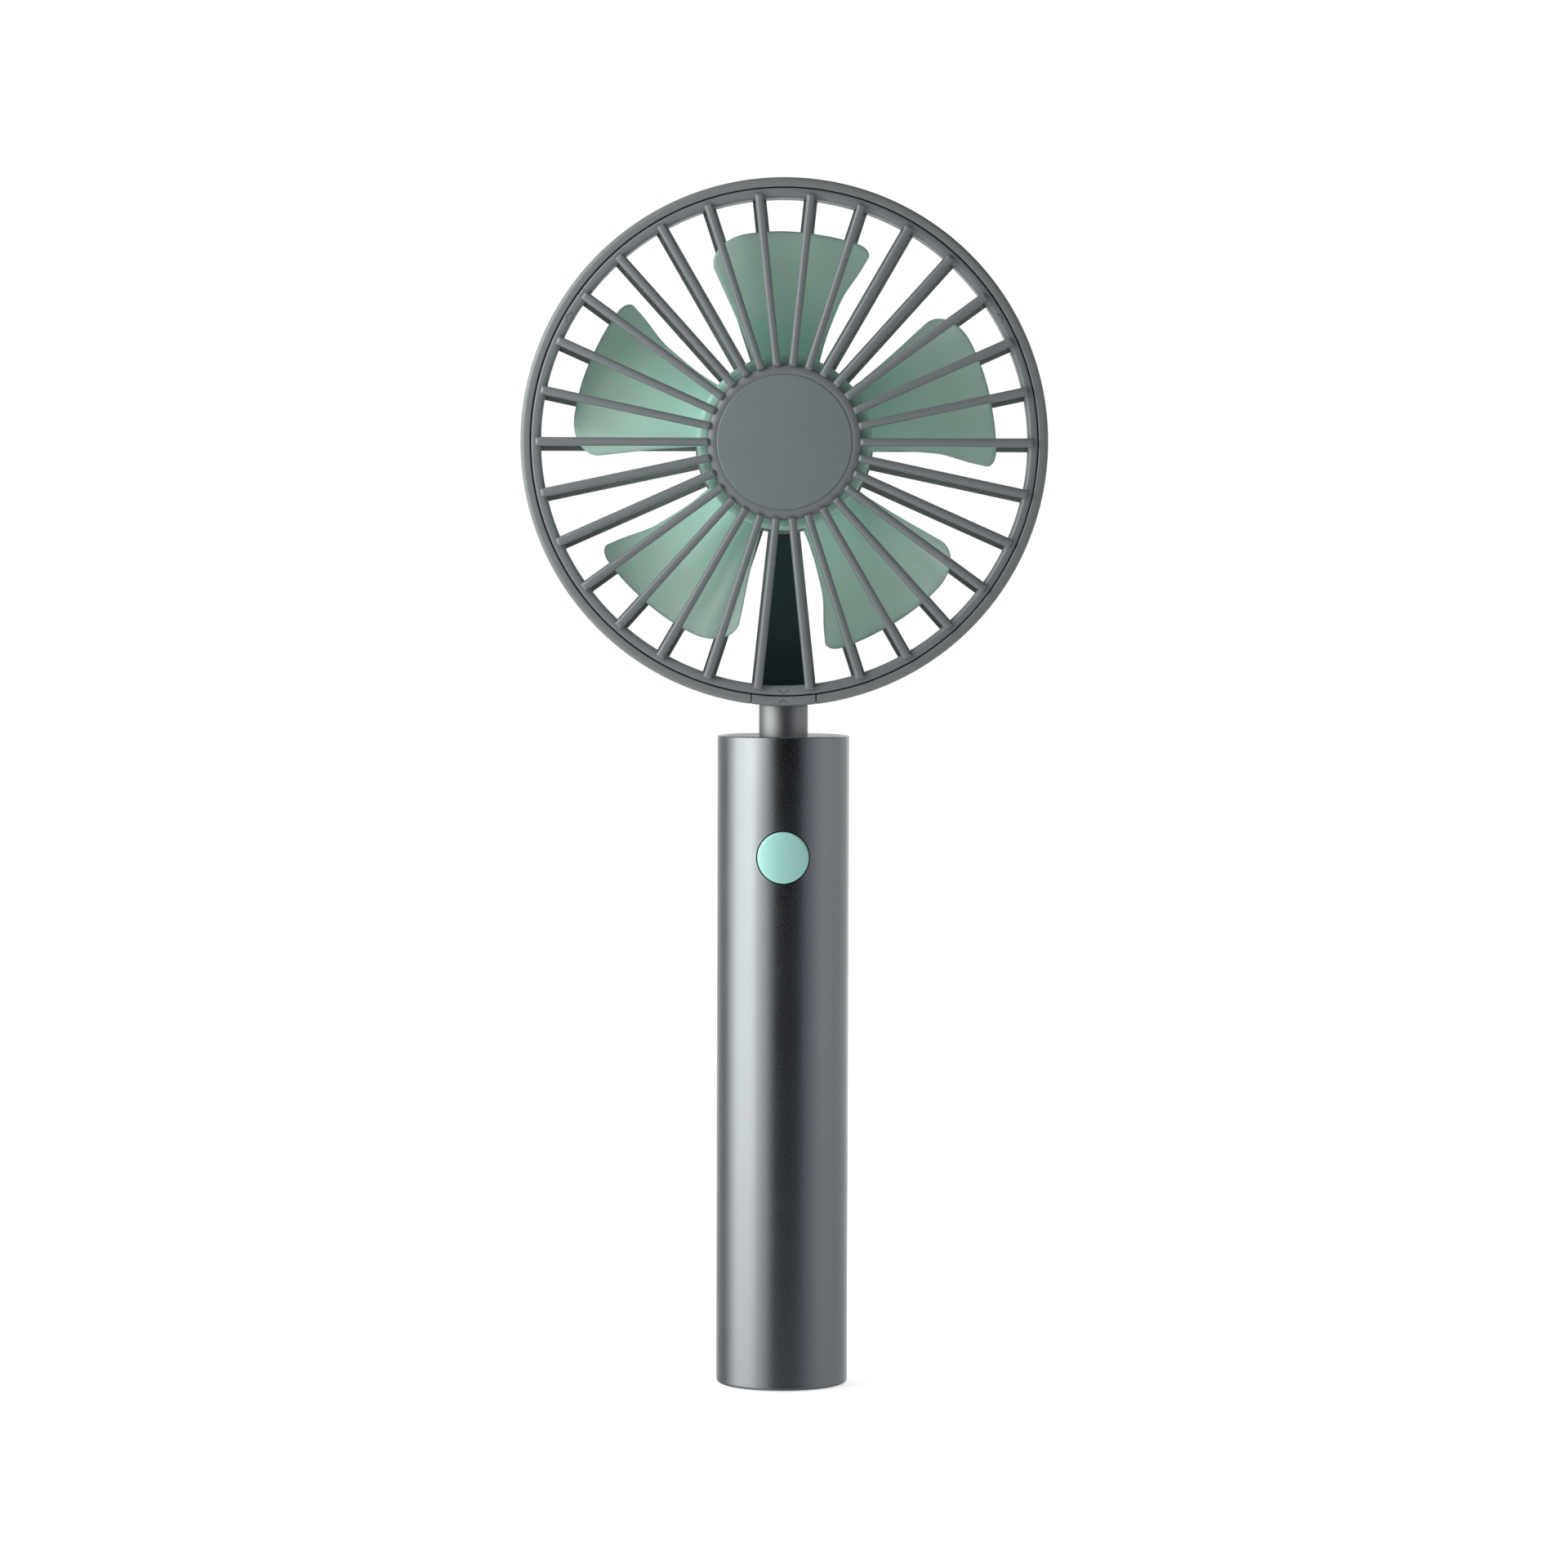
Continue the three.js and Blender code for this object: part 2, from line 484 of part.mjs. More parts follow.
part(head, 'hall_sensor', chip, box([9.0, 10.5], [2.2, 3.65], span(0.9)));
leadPair(head, 'head_lead', [
  [0.6, 4.8, -10.2], [0.6, 5.8, -10.25], [0.6, 7.1, -12.6], [0.6, 7.3, -16], [0.6, 7.3, -38.6],
], 14);

// --------------------------------------------------------------------- rotor
// Outer edge of a blade: [fraction from leading to trailing edge, radius].
const BLADE_TIP = [
  [0, 34.4], [0.03, 35.5], [0.12, 35.35], [0.3, 35.2], [0.5, 35.2],
  [0.68, 35.2], [0.8, 35.15], [0.88, 34.6], [0.942, 33.2], [1, 30.5],
];
// Edges of a blade: [radius, degrees about the fan's axis].
const LEADING = [[13, 66.0], [14.4, 66.9], [19.6, 68.8], [25, 68.6], [31.5, 66.3], [36, 65.4]];
const TRAILING = [[13, 110.0], [14.4, 110.3], [22, 111.1], [29.2, 112.0], [36, 112.4]];
const BLADE_START_R = 13.75; // inner end of a blade, inside the rotor's wall
const PITCH_START_R = 14; // radius at which the edge depths below start
const CAMBER = 0.24;

function interpolate(table, x) {
  let i = 0;
  while (i < table.length - 2 && x > table[i + 1][0]) i++;
  const [[x0, value0], [x1, value1]] = table.slice(i, i + 2);
  return value0 + THREE.MathUtils.clamp((x - x0) / (x1 - x0), 0, 1) * (value1 - value0);
}
// Point on a blade's mean surface.
function meanPoint(fraction, radius) {
  const start = interpolate(LEADING, radius);
  const end = interpolate(TRAILING, radius);
  const angle = THREE.MathUtils.degToRad(start + fraction * (end - start));
  const outward = (radius - PITCH_START_R) / (TIP_R - PITCH_START_R);
  const leadingY = 3.0 - 0.9 * outward;
  const trailingY = -7.1 + 0.4 * outward;
  const bowed = fraction - CAMBER * fraction * (1 - fraction);
  const y = leadingY + (trailingY - leadingY) * bowed;
  return new THREE.Vector3(radius * Math.cos(angle), y, radius * Math.sin(angle));
}
// The same point moved by lift along the surface's normal.
function bladePoint(fraction, radius, lift) {
  const stepF = 1e-3;
  const stepR = 0.05;
  const along = meanPoint(fraction + stepF, radius).sub(meanPoint(fraction - stepF, radius));
  const outward = meanPoint(fraction, radius + stepR).sub(meanPoint(fraction, radius - stepR));
  const normal = along.cross(outward).normalize();
  return meanPoint(fraction, radius).addScaledVector(normal, lift);
}
// A unit box bent onto the mean surface: x along the blade, y outwards, z through it.
function makeBlade() {
  const columns = BLADE_TIP.length - 1;
  const geometry = new THREE.BoxGeometry(1, 1, 1, columns, 4, 1);
  const { position } = geometry.attributes;
  for (let i = 0; i < position.count; i++) {
    const [fraction, tipR] = BLADE_TIP[Math.round((position.getX(i) + 0.5) * columns)];
    const outward = position.getY(i) + 0.5;
    const radius = BLADE_START_R + (tipR - BLADE_START_R) * outward;
    // Thinner towards the tip and towards both edges.
    const thickness = (1.25 - 0.35 * outward) * (0.55 + 0.45 * Math.sin(Math.PI * fraction));
    const point = bladePoint(fraction, radius, position.getZ(i) * thickness);
    position.setXYZ(i, point.x, point.y, point.z);
  }
  return solid(geometry);
}
part(head, 'impeller', sage, join(
  turnY([
    [0, -7.8], [13.7, -7.8], [ROTOR_R, -7.0], [ROTOR_R, 3.6], [13.2, 3.6], [13.2, -6.4],
    [2.6, -6.4], [2.6, -4.2], [1.04, -4.2], [1.04, -7.2], [0, -7.2],
  ], 40),
  ...around(makeBlade(), evenAngles(BLADES))));
part(head, 'rotor_yoke', steel, turnY([
  [2.7, -6.35], [13.1, -6.35], [13.1, 3.2], [12.5, 3.2], [12.5, -5.75], [2.7, -5.75],
], 40));
part(head, 'magnet_ring', magnetGrey,
  turnY([[10.95, -4.2], [12.4, -4.2], [12.4, 3.0], [10.95, 3.0]], 40));
// Shaft with a groove for its clip near the rear end.
part(head, 'motor_shaft', steel, turnY([
  [0, -7.15], [1.0, -7.15], [1.0, 6.75], [0.85, 6.75], [0.85, 7.1],
  [1.0, 7.1], [1.0, 7.35], [0.85, 7.5], [0, 7.5],
], 24));
part(head, 'shaft_clip', steel, cut(
  turnY([[0.9, 6.8], [1.9, 6.8], [1.9, 7.05], [0.9, 7.05]], 24),
  box([0.2, 3], [6, 8], span(0.55))));

// -------------------------------------------------------------- front grille
{
  const ring = turnY([
    [GRILLE_IN, -9.8], [40.25, -10.25], [40.75, FRONT_Y], [41.35, FRONT_Y],
    [GRILLE_OUT, -10.15], [GRILLE_OUT, -8.3], [GRILLE_IN, -8.3],
  ], 60);
  const hub = turnY([
    [0, -9.7], [11.3, -9.7], [11.3, -10.75], [11.9, -10.7], [12.45, -10.42], [12.77, -10.0],
    [FRONT_HUB_R, -9.5], [FRONT_HUB_R, -8.6], [0, -8.6],
  ], 40);
  // Rib: a deep bar with a bevelled crest, section in [y, z].
  const crestHalf = FRONT_RIB_HALF - 0.32;
  const rib = plateX([
    [-8.9, -FRONT_RIB_HALF], [-8.9, FRONT_RIB_HALF], [-11.0, FRONT_RIB_HALF],
    [CREST_Y, crestHalf], [CREST_Y, -crestHalf], [-11.0, -FRONT_RIB_HALF],
  ], [12.5, 40.95]);
  // Tabs behind the ring that drop into the ledge.
  const tab = box([40.45, 41.0], [-8.5, -6.4], span(2.5));
  // Arrow over each tab, pointing outwards; it is drawn at the bottom, at -90 degrees.
  const arrowAngles = TAB_ANGLES.map((angle) => angle + 90);
  part(head, 'front_grille', greyPlastic, cut(
    join(ring, hub, ...around(rib, SPOKE_ANGLES), ...around(tab, TAB_ANGLES)),
    ...around(chevron(-41.15, -1, 0.25), arrowAngles)));
}
part(head, 'grille_badge', greyPlastic,
  turnY([[0, -9.75], [BADGE_R, -9.75], [BADGE_R, -10.9], [0, -10.9]], 40));

export default fan;
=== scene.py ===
# A small tilting fan: a round caged head hinged on top of an upright tubular handle.
# The handle stands on z = 0 along +Z, the fan's axis runs along Y and the front faces -Y.
# Shapes are in millimetres and become metres in make(); materials, lights and camera use metres.
import json
import math

import bmesh
import bpy
import numpy as np
from mathutils import Matrix, Vector


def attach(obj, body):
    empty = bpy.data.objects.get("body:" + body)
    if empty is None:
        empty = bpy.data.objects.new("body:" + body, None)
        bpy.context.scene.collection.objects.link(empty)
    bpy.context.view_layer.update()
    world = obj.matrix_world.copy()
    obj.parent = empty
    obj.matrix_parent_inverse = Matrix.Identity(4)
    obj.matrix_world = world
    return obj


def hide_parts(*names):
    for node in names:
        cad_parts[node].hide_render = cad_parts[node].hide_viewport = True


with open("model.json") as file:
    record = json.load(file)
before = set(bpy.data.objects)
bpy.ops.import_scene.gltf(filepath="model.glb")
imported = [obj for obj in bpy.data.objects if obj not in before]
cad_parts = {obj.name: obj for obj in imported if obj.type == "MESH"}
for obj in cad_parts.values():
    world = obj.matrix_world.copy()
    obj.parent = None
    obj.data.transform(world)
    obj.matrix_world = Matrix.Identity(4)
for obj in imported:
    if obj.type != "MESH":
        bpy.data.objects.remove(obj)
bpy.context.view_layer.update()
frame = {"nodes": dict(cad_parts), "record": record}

scene = bpy.context.scene
MM = 0.001

# Driving dimensions, mm
HEAD_Z = 157.25                  # fan axis above the base
HEAD = (0, 0, HEAD_Z)
FRONT_Y = -10.5                  # front face of the rims
BACK_Y = 10.6                    # rear face of the cage
RIM_INNER, RIM_OUTER = 41.92, 43.5
PIN_Y, PIN_Z = 7.2, HEAD_Z - 41.35   # tilt axis, parallel to X
RIB_COUNT = 30
REAR_RIB_HALF = 1.15             # half width of a rear rib
TAB_ANGLES = (30, 150, 270)      # front grille tabs, from +X towards +Z
TUBE_R, TUBE_TOP = 11.0, 108.6
BUTTON_Z, BUTTON_R = 88.7, 4.275
PORT_Z = 82
PORT_HALF = (8.94 / 2, 3.26 / 2)     # half width and half height of the socket
OPENING_GAP = 0.2                # round the button and the socket
LAMP_Z = 91.5


# ------------------------------------------------------------- mesh building
def make(name, verts, faces):
    """New object from millimetre points, linked to the scene."""
    mesh = bpy.data.meshes.new(name)
    mesh.from_pydata([(v[0] * MM, v[1] * MM, v[2] * MM) for v in verts], [], faces)
    ob = bpy.data.objects.new(name, mesh)
    scene.collection.objects.link(ob)
    bm = bmesh.new()
    bm.from_mesh(mesh)
    bmesh.ops.remove_doubles(bm, verts=bm.verts, dist=1e-7)
    bmesh.ops.recalc_face_normals(bm, faces=bm.faces)
    bm.to_mesh(mesh)
    bm.free()
    return ob


def place(axis, a, b, h):
    """Point (a, b) of a section, at h along the axis."""
    return {"x": (h, a, b), "y": (a, h, b), "z": (a, b, h)}[axis]


def rounded(corners, steps):
    """Corners (a, b) or (a, b, fillet) as a smooth outline; steps are per quarter turn."""
    points = [(c[0], c[1], c[2] if len(c) > 2 else 0.0) for c in corners]
    out = []
    for i, (x, y, fillet) in enumerate(points):
        if fillet <= 0:
            out.append((x, y))
            continue
        corner = np.array((x, y))
        back = np.array(points[i - 1][:2]) - corner
        ahead = np.array(points[(i + 1) % len(points)][:2]) - corner
        back_len, ahead_len = np.linalg.norm(back), np.linalg.norm(ahead)
        back, ahead = back / back_len, ahead / ahead_len
        angle = math.acos(float(back @ ahead))
        # the fillet may use just under half of either side
        reach = min(fillet / math.tan(angle / 2), 0.49 * back_len, 0.49 * ahead_len)
        radius = reach * math.tan(angle / 2)
        bisector = (back + ahead) / np.linalg.norm(back + ahead)
        centre = corner + bisector * (radius / math.sin(angle / 2))
        start, end = corner + back * reach - centre, corner + ahead * reach - centre
        t0, t1 = math.atan2(start[1], start[0]), math.atan2(end[1], end[0])
        sweep = (t1 - t0 + math.pi) % (2 * math.pi) - math.pi
        count = max(2, int(math.ceil(steps * abs(sweep) / (math.pi / 2))))
        for j in range(count + 1):
            t = t0 + sweep * j / count
            out.append((centre[0] + radius * math.cos(t), centre[1] + radius * math.sin(t)))
    clean = []
    for q in out:
        if not clean or math.hypot(q[0] - clean[-1][0], q[1] - clean[-1][1]) > 1e-4:
            clean.append(q)
    return clean


def lathe(name, corners, segments, axis="y", centre=(0, 0, 0), steps=6):
    """Turns corners (radius, height along axis[, fillet]) about an axis.

    The profile starts and ends on the axis, or closes on itself."""
    profile = rounded(corners, steps)
    on_axis = profile[0][0] < 1e-9 and profile[-1][0] < 1e-9
    verts, rings = [], []
    for r, h in profile:
        ring = []
        for i in range(1 if r < 1e-9 else segments):
            t = 2 * math.pi * i / segments
            x, y, z = place(axis, r * math.cos(t), r * math.sin(t), h)
            ring.append(len(verts))
            verts.append((x + centre[0], y + centre[1], z + centre[2]))
        rings.append(ring)
    faces = []
    for k in range(len(rings) - 1 if on_axis else len(rings)):
        p, q = rings[k], rings[(k + 1) % len(rings)]
        for i in range(segments):
            j = (i + 1) % segments
            if len(p) == 1:
                faces.append((p[0], q[i], q[j]))
            elif len(q) == 1:
                faces.append((p[i], q[0], p[j]))
            else:
                faces.append((p[i], q[i], q[j], p[j]))
    return make(name, verts, faces)


def loft_faces(count, size, first=0):
    """Faces of `count` loops of `size` points: two flat ends, then the sides."""
    last = first + (count - 1) * size
    faces = [tuple(range(first, first + size)), tuple(range(last, last + size))]
    for near in range(first, last, size):
        far = near + size
        for i in range(size):
            j = (i + 1) % size
            faces.append((near + i, near + j, far + j, far + i))
    return faces


def loft(name, loops):
    """Closed loops of equal length joined in order."""
    return make(name, [v for loop in loops for v in loop], loft_faces(len(loops), len(loops[0])))


def prism(name, outline, axis, span):
    """Flat outline given thickness: axis x takes (y, z), y takes (x, z), z takes (x, y)."""
    return loft(name, [[place(axis, a, b, h) for a, b in outline] for h in span])


def box(name, xs, ys, zs):
    corners = [(xs[0], ys[0]), (xs[1], ys[0]), (xs[1], ys[1]), (xs[0], ys[1])]
    return prism(name, corners, "z", zs)


def cylinder(name, axis, radius, span, centre, segments):
    turns = [2 * math.pi * i / segments for i in range(segments)]
    outline = [(centre[0] + radius * math.cos(t), centre[1] + radius * math.sin(t)) for t in turns]
    return prism(name, outline, axis, span)


def bar(radii, half_widths, base, crest, crest_fillet, base_fillet, steps=5):
    """Loops of a rib along +X, from y = base to y = crest, with rounded corners all round."""
    side = 1 if crest > base else -1
    levels = []                  # (y, inset)
    for i in range(4):
        t = i / 3 * math.pi / 2
        levels.append((base + side * base_fillet * (1 - math.cos(t)),
                       base_fillet * (1 - math.sin(t))))
    for i in range(steps + 1):
        t = i / steps * math.pi / 2
        levels.append((crest - side * crest_fillet * (1 - math.sin(t)),
                       crest_fillet * (1 - math.cos(t))))
    (r0, r1), (w0, w1) = radii, half_widths
    loops = []
    for y, inset in levels:
        q = max(0.3 - 0.6 * inset, 0.05)     # corner radius in plan
        corners = ((r1 - inset - q, w1 - inset - q, 0), (r0 + inset + q, w0 - inset - q, 90),
                   (r0 + inset + q, -(w0 - inset - q), 180),
                   (r1 - inset - q, -(w1 - inset - q), 270))
        loop = []
        for x, z, start in corners:
            for i in range(5):
                t = math.radians(start + 90 * i / 4)
                loop.append((x + q * math.cos(t), y, z + q * math.sin(t)))
        loops.append(loop)
    return loops


def around(name, loops):
    """RIB_COUNT copies of a lofted bar about the fan axis, as one object."""
    verts, faces = [], []
    for c in range(RIB_COUNT):
        t = math.radians(360.0 * c / RIB_COUNT)
        ct, st = math.cos(t), math.sin(t)
        faces += loft_faces(len(loops), len(loops[0]), first=len(verts))
        verts += [(x * ct - z * st, y, x * st + z * ct + HEAD_Z)
                  for loop in loops for x, y, z in loop]
    return make(name, verts, faces)


def turn(ob, degrees):
    """Turns a mesh about the fan axis, from +X towards +Z."""
    c = Vector(HEAD) * MM
    spin = Matrix.Rotation(-math.radians(degrees), 4, "Y")
    ob.data.transform(Matrix.Translation(c) @ spin @ Matrix.Translation(-c))
    return ob


# ------------------------------------------------------------- mesh editing
def evaluated_mesh(ob):
    depsgraph = bpy.context.evaluated_depsgraph_get()
    return bpy.data.meshes.new_from_object(ob.evaluated_get(depsgraph))


def adopt(ob, mesh):
    """Gives the object its evaluated mesh in place of its modifiers."""
    ob.modifiers.clear()
    old = ob.data
    ob.data = mesh
    mesh.name = ob.name
    bpy.data.meshes.remove(old)
    return ob


def boolean(ob, others, operation):
    """Combines each of the others with ob in turn, and removes them."""
    for other in others:
        modifier = ob.modifiers.new("b", "BOOLEAN")
        modifier.object, modifier.operation = other, operation
        modifier.solver = "MANIFOLD"
        mesh = evaluated_mesh(ob)
        # an empty result means the fast solver refused the input
        if len(mesh.polygons) == 0:
            modifier.solver = "EXACT"
            mesh = evaluated_mesh(ob)
        adopt(ob, mesh)
        data = other.data
        bpy.data.objects.remove(other)
        bpy.data.meshes.remove(data)
    return ob


def union(ob, *others):
    return boolean(ob, others, "UNION")


def cut(ob, *others):
    return boolean(ob, others, "DIFFERENCE")


def common(ob, *others):
    return boolean(ob, others, "INTERSECT")


def soften(ob, width, segments):
    """A small moulding radius on every sharp edge."""
    bevel = ob.modifiers.new("bevel", "BEVEL")
    bevel.width, bevel.segments = width * MM, segments
    bevel.limit_method, bevel.angle_limit = "ANGLE", math.radians(40)
    bevel.use_clamp_overlap = True
    bevel.miter_outer = "MITER_ARC"
    return adopt(ob, evaluated_mesh(ob))


def finish(ob, node, body, slot, look=None, angle=32):
    """Cleans and shades a piece, dresses it and puts it in place of a CAD node."""
    mesh = ob.data
    bm = bmesh.new()
    bm.from_mesh(mesh)
    bmesh.ops.remove_doubles(bm, verts=bm.verts, dist=2e-6)
    bmesh.ops.dissolve_degenerate(bm, edges=bm.edges, dist=1e-6)
    bm.to_mesh(mesh)
    bm.free()
    mesh.polygons.foreach_set("use_smooth", [True] * len(mesh.polygons))
    mesh.set_sharp_from_angle(angle=math.radians(angle))
    mesh.update()
    mesh.materials.clear()
    mesh.materials.append(look or LOOKS[slot])
    for p in mesh.polygons:
        p.material_index = 0
    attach(ob, body)
    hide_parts(node)


# -------------------------------------------------------------- shader nodes
def feed(nt, socket, value):
    """Links a socket, or sets a plain value."""
    if isinstance(value, bpy.types.NodeSocket):
        nt.links.new(value, socket)
    else:
        socket.default_value = value


def new_material(name):
    material = bpy.data.materials.new(name)
    material.use_nodes = True
    nt = material.node_tree
    nt.nodes.clear()
    out = nt.nodes.new("ShaderNodeOutputMaterial")
    bsdf = nt.nodes.new("ShaderNodeBsdfPrincipled")
    nt.links.new(bsdf.outputs[0], out.inputs[0])
    coords = nt.nodes.new("ShaderNodeTexCoord").outputs["Object"]
    return material, nt, bsdf, coords


def math_node(nt, operation, *values):
    node = nt.nodes.new("ShaderNodeMath")
    node.operation = operation
    for socket, value in zip(node.inputs, values):
        feed(nt, socket, value)
    return node.outputs[0]


def noise(nt, coords, scale, detail=2.0, rough=0.5, stretch=None):
    node = nt.nodes.new("ShaderNodeTexNoise")
    node.inputs["Scale"].default_value = scale
    node.inputs["Detail"].default_value = detail
    node.inputs["Roughness"].default_value = rough
    if stretch:
        mapping = nt.nodes.new("ShaderNodeMapping")
        mapping.inputs["Scale"].default_value = stretch
        nt.links.new(coords, mapping.inputs["Vector"])
        coords = mapping.outputs[0]
    nt.links.new(coords, node.inputs["Vector"])
    return node.outputs["Fac"]


def remap(nt, value, source, target=(0.0, 1.0), smooth=False):
    node = nt.nodes.new("ShaderNodeMapRange")
    if smooth:
        node.interpolation_type = "SMOOTHSTEP"
    node.inputs["From Min"].default_value, node.inputs["From Max"].default_value = source
    node.inputs["To Min"].default_value, node.inputs["To Max"].default_value = target
    nt.links.new(value, node.inputs["Value"])
    return node.outputs[0]


def spread_noise(nt, value, low=0.0, high=1.0):
    """Maps the middle of the noise range, where most of it lies."""
    return remap(nt, value, (0.3, 0.7), (low, high))


def mix_colour(nt, factor, a, b):
    node = nt.nodes.new("ShaderNodeMix")
    node.data_type = "RGBA"
    feed(nt, node.inputs[6], a)
    feed(nt, node.inputs[7], b)
    nt.links.new(factor, node.inputs[0])
    return node.outputs[2]


def bump(nt, bsdf, height, strength, distance):
    node = nt.nodes.new("ShaderNodeBump")
    node.inputs["Strength"].default_value = strength
    node.inputs["Distance"].default_value = distance
    nt.links.new(height, node.inputs["Height"])
    nt.links.new(node.outputs[0], bsdf.inputs["Normal"])


# ----------------------------------------------------------------- materials
def srgb(*levels):
    """0-255 display levels as a linear colour."""
    channels = [c / 255 for c in levels]
    return tuple(x / 12.92 if x <= 0.04045 else ((x + 0.055) / 1.055) ** 2.4
                 for x in channels) + (1.0,)


def tones(colour, spread):
    """A colour made darker and lighter by the same share."""
    return [tuple(min(1.0, x * k) for x in srgb(*colour)[:3]) + (1.0,)
            for k in (1 - spread, 1 + spread)]


def painted_light_near_axis(nt, coords, base, colour, radii, front_of=None):
    """Painted light: blends to a lighter colour near the fan axis, full inside radii[0], none
    outside radii[1].

    With front_of, only what lies in front of that y. Lengths in metres."""
    xyz = nt.nodes.new("ShaderNodeSeparateXYZ")
    nt.links.new(coords, xyz.inputs[0])
    rise = math_node(nt, "SUBTRACT", xyz.outputs[2], HEAD_Z * MM)
    radial = nt.nodes.new("ShaderNodeCombineXYZ")
    nt.links.new(xyz.outputs[0], radial.inputs[0])
    nt.links.new(rise, radial.inputs[2])
    length = nt.nodes.new("ShaderNodeVectorMath")
    length.operation = "LENGTH"
    nt.links.new(radial.outputs[0], length.inputs[0])
    painted_light_amount = remap(nt, length.outputs["Value"], radii, (1.0, 0.0))
    if front_of is not None:
        fade = (front_of - 0.0003, front_of + 0.0003)
        painted_light_amount = math_node(nt, "MULTIPLY", painted_light_amount, remap(nt, xyz.outputs[1], fade, (1.0, 0.0)))
    return mix_colour(nt, painted_light_amount, base, srgb(*colour))


def plastic(name, colour, rough=0.45, spread=0.05, grain=2600.0, depth=0.15, spec=0.45,
            coat=0.0, ior=1.5, scatter=0.0, tint=None):
    """Moulded plastic: fine grain of a given scale and bump depth, flow marks, uneven gloss."""
    material, nt, bsdf, coords = new_material(name)
    flow = noise(nt, coords, scale=55.0, detail=3.0, rough=0.55)
    fine = noise(nt, coords, scale=grain, detail=2.0, rough=0.6)
    fine_share, flow_share = 0.35, 0.65
    mottle = math_node(nt, "MULTIPLY_ADD", fine, fine_share, 0.0)
    mottle = math_node(nt, "MULTIPLY_ADD", flow, flow_share, mottle)
    base = mix_colour(nt, spread_noise(nt, mottle), *tones(colour, spread))
    nt.links.new(spread_noise(nt, flow, rough - 0.05, rough + 0.06), bsdf.inputs["Roughness"])
    bsdf.inputs["Specular IOR Level"].default_value = spec
    bsdf.inputs["Coat Weight"].default_value = coat
    bsdf.inputs["Coat Roughness"].default_value = 0.3
    bsdf.inputs["IOR"].default_value = ior
    # painted light: with tint, the base colour is blended to a lighter colour near the fan axis
    if tint:
        base = painted_light_near_axis(nt, coords, base, **tint)
    nt.links.new(base, bsdf.inputs["Base Color"])
    if scatter:
        bsdf.inputs["Subsurface Weight"].default_value = scatter
        bsdf.inputs["Subsurface Radius"].default_value = (0.0019, 0.0025, 0.0022)
        bsdf.inputs["Subsurface Scale"].default_value = 1.0
    bump(nt, bsdf, fine, strength=depth, distance=0.00002)
    return material


def metal(name, colour, rough, spread, grain, depth, stretch=None):
    """Metal with a fine grain, directional where stretched."""
    material, nt, bsdf, coords = new_material(name)
    fine = noise(nt, coords, scale=grain, detail=3.0, rough=0.65, stretch=stretch)
    broad = noise(nt, coords, scale=70.0, detail=3.0, rough=0.5)
    base = mix_colour(nt, spread_noise(nt, fine), *tones(colour, spread))
    nt.links.new(base, bsdf.inputs["Base Color"])
    gloss = math_node(nt, "ADD", spread_noise(nt, fine, rough - 0.05, rough + 0.05),
                      spread_noise(nt, broad, -0.02, 0.03))
    nt.links.new(gloss, bsdf.inputs["Roughness"])
    bsdf.inputs["Metallic"].default_value = 1.0
    bump(nt, bsdf, fine, strength=depth, distance=0.00001)
    return material


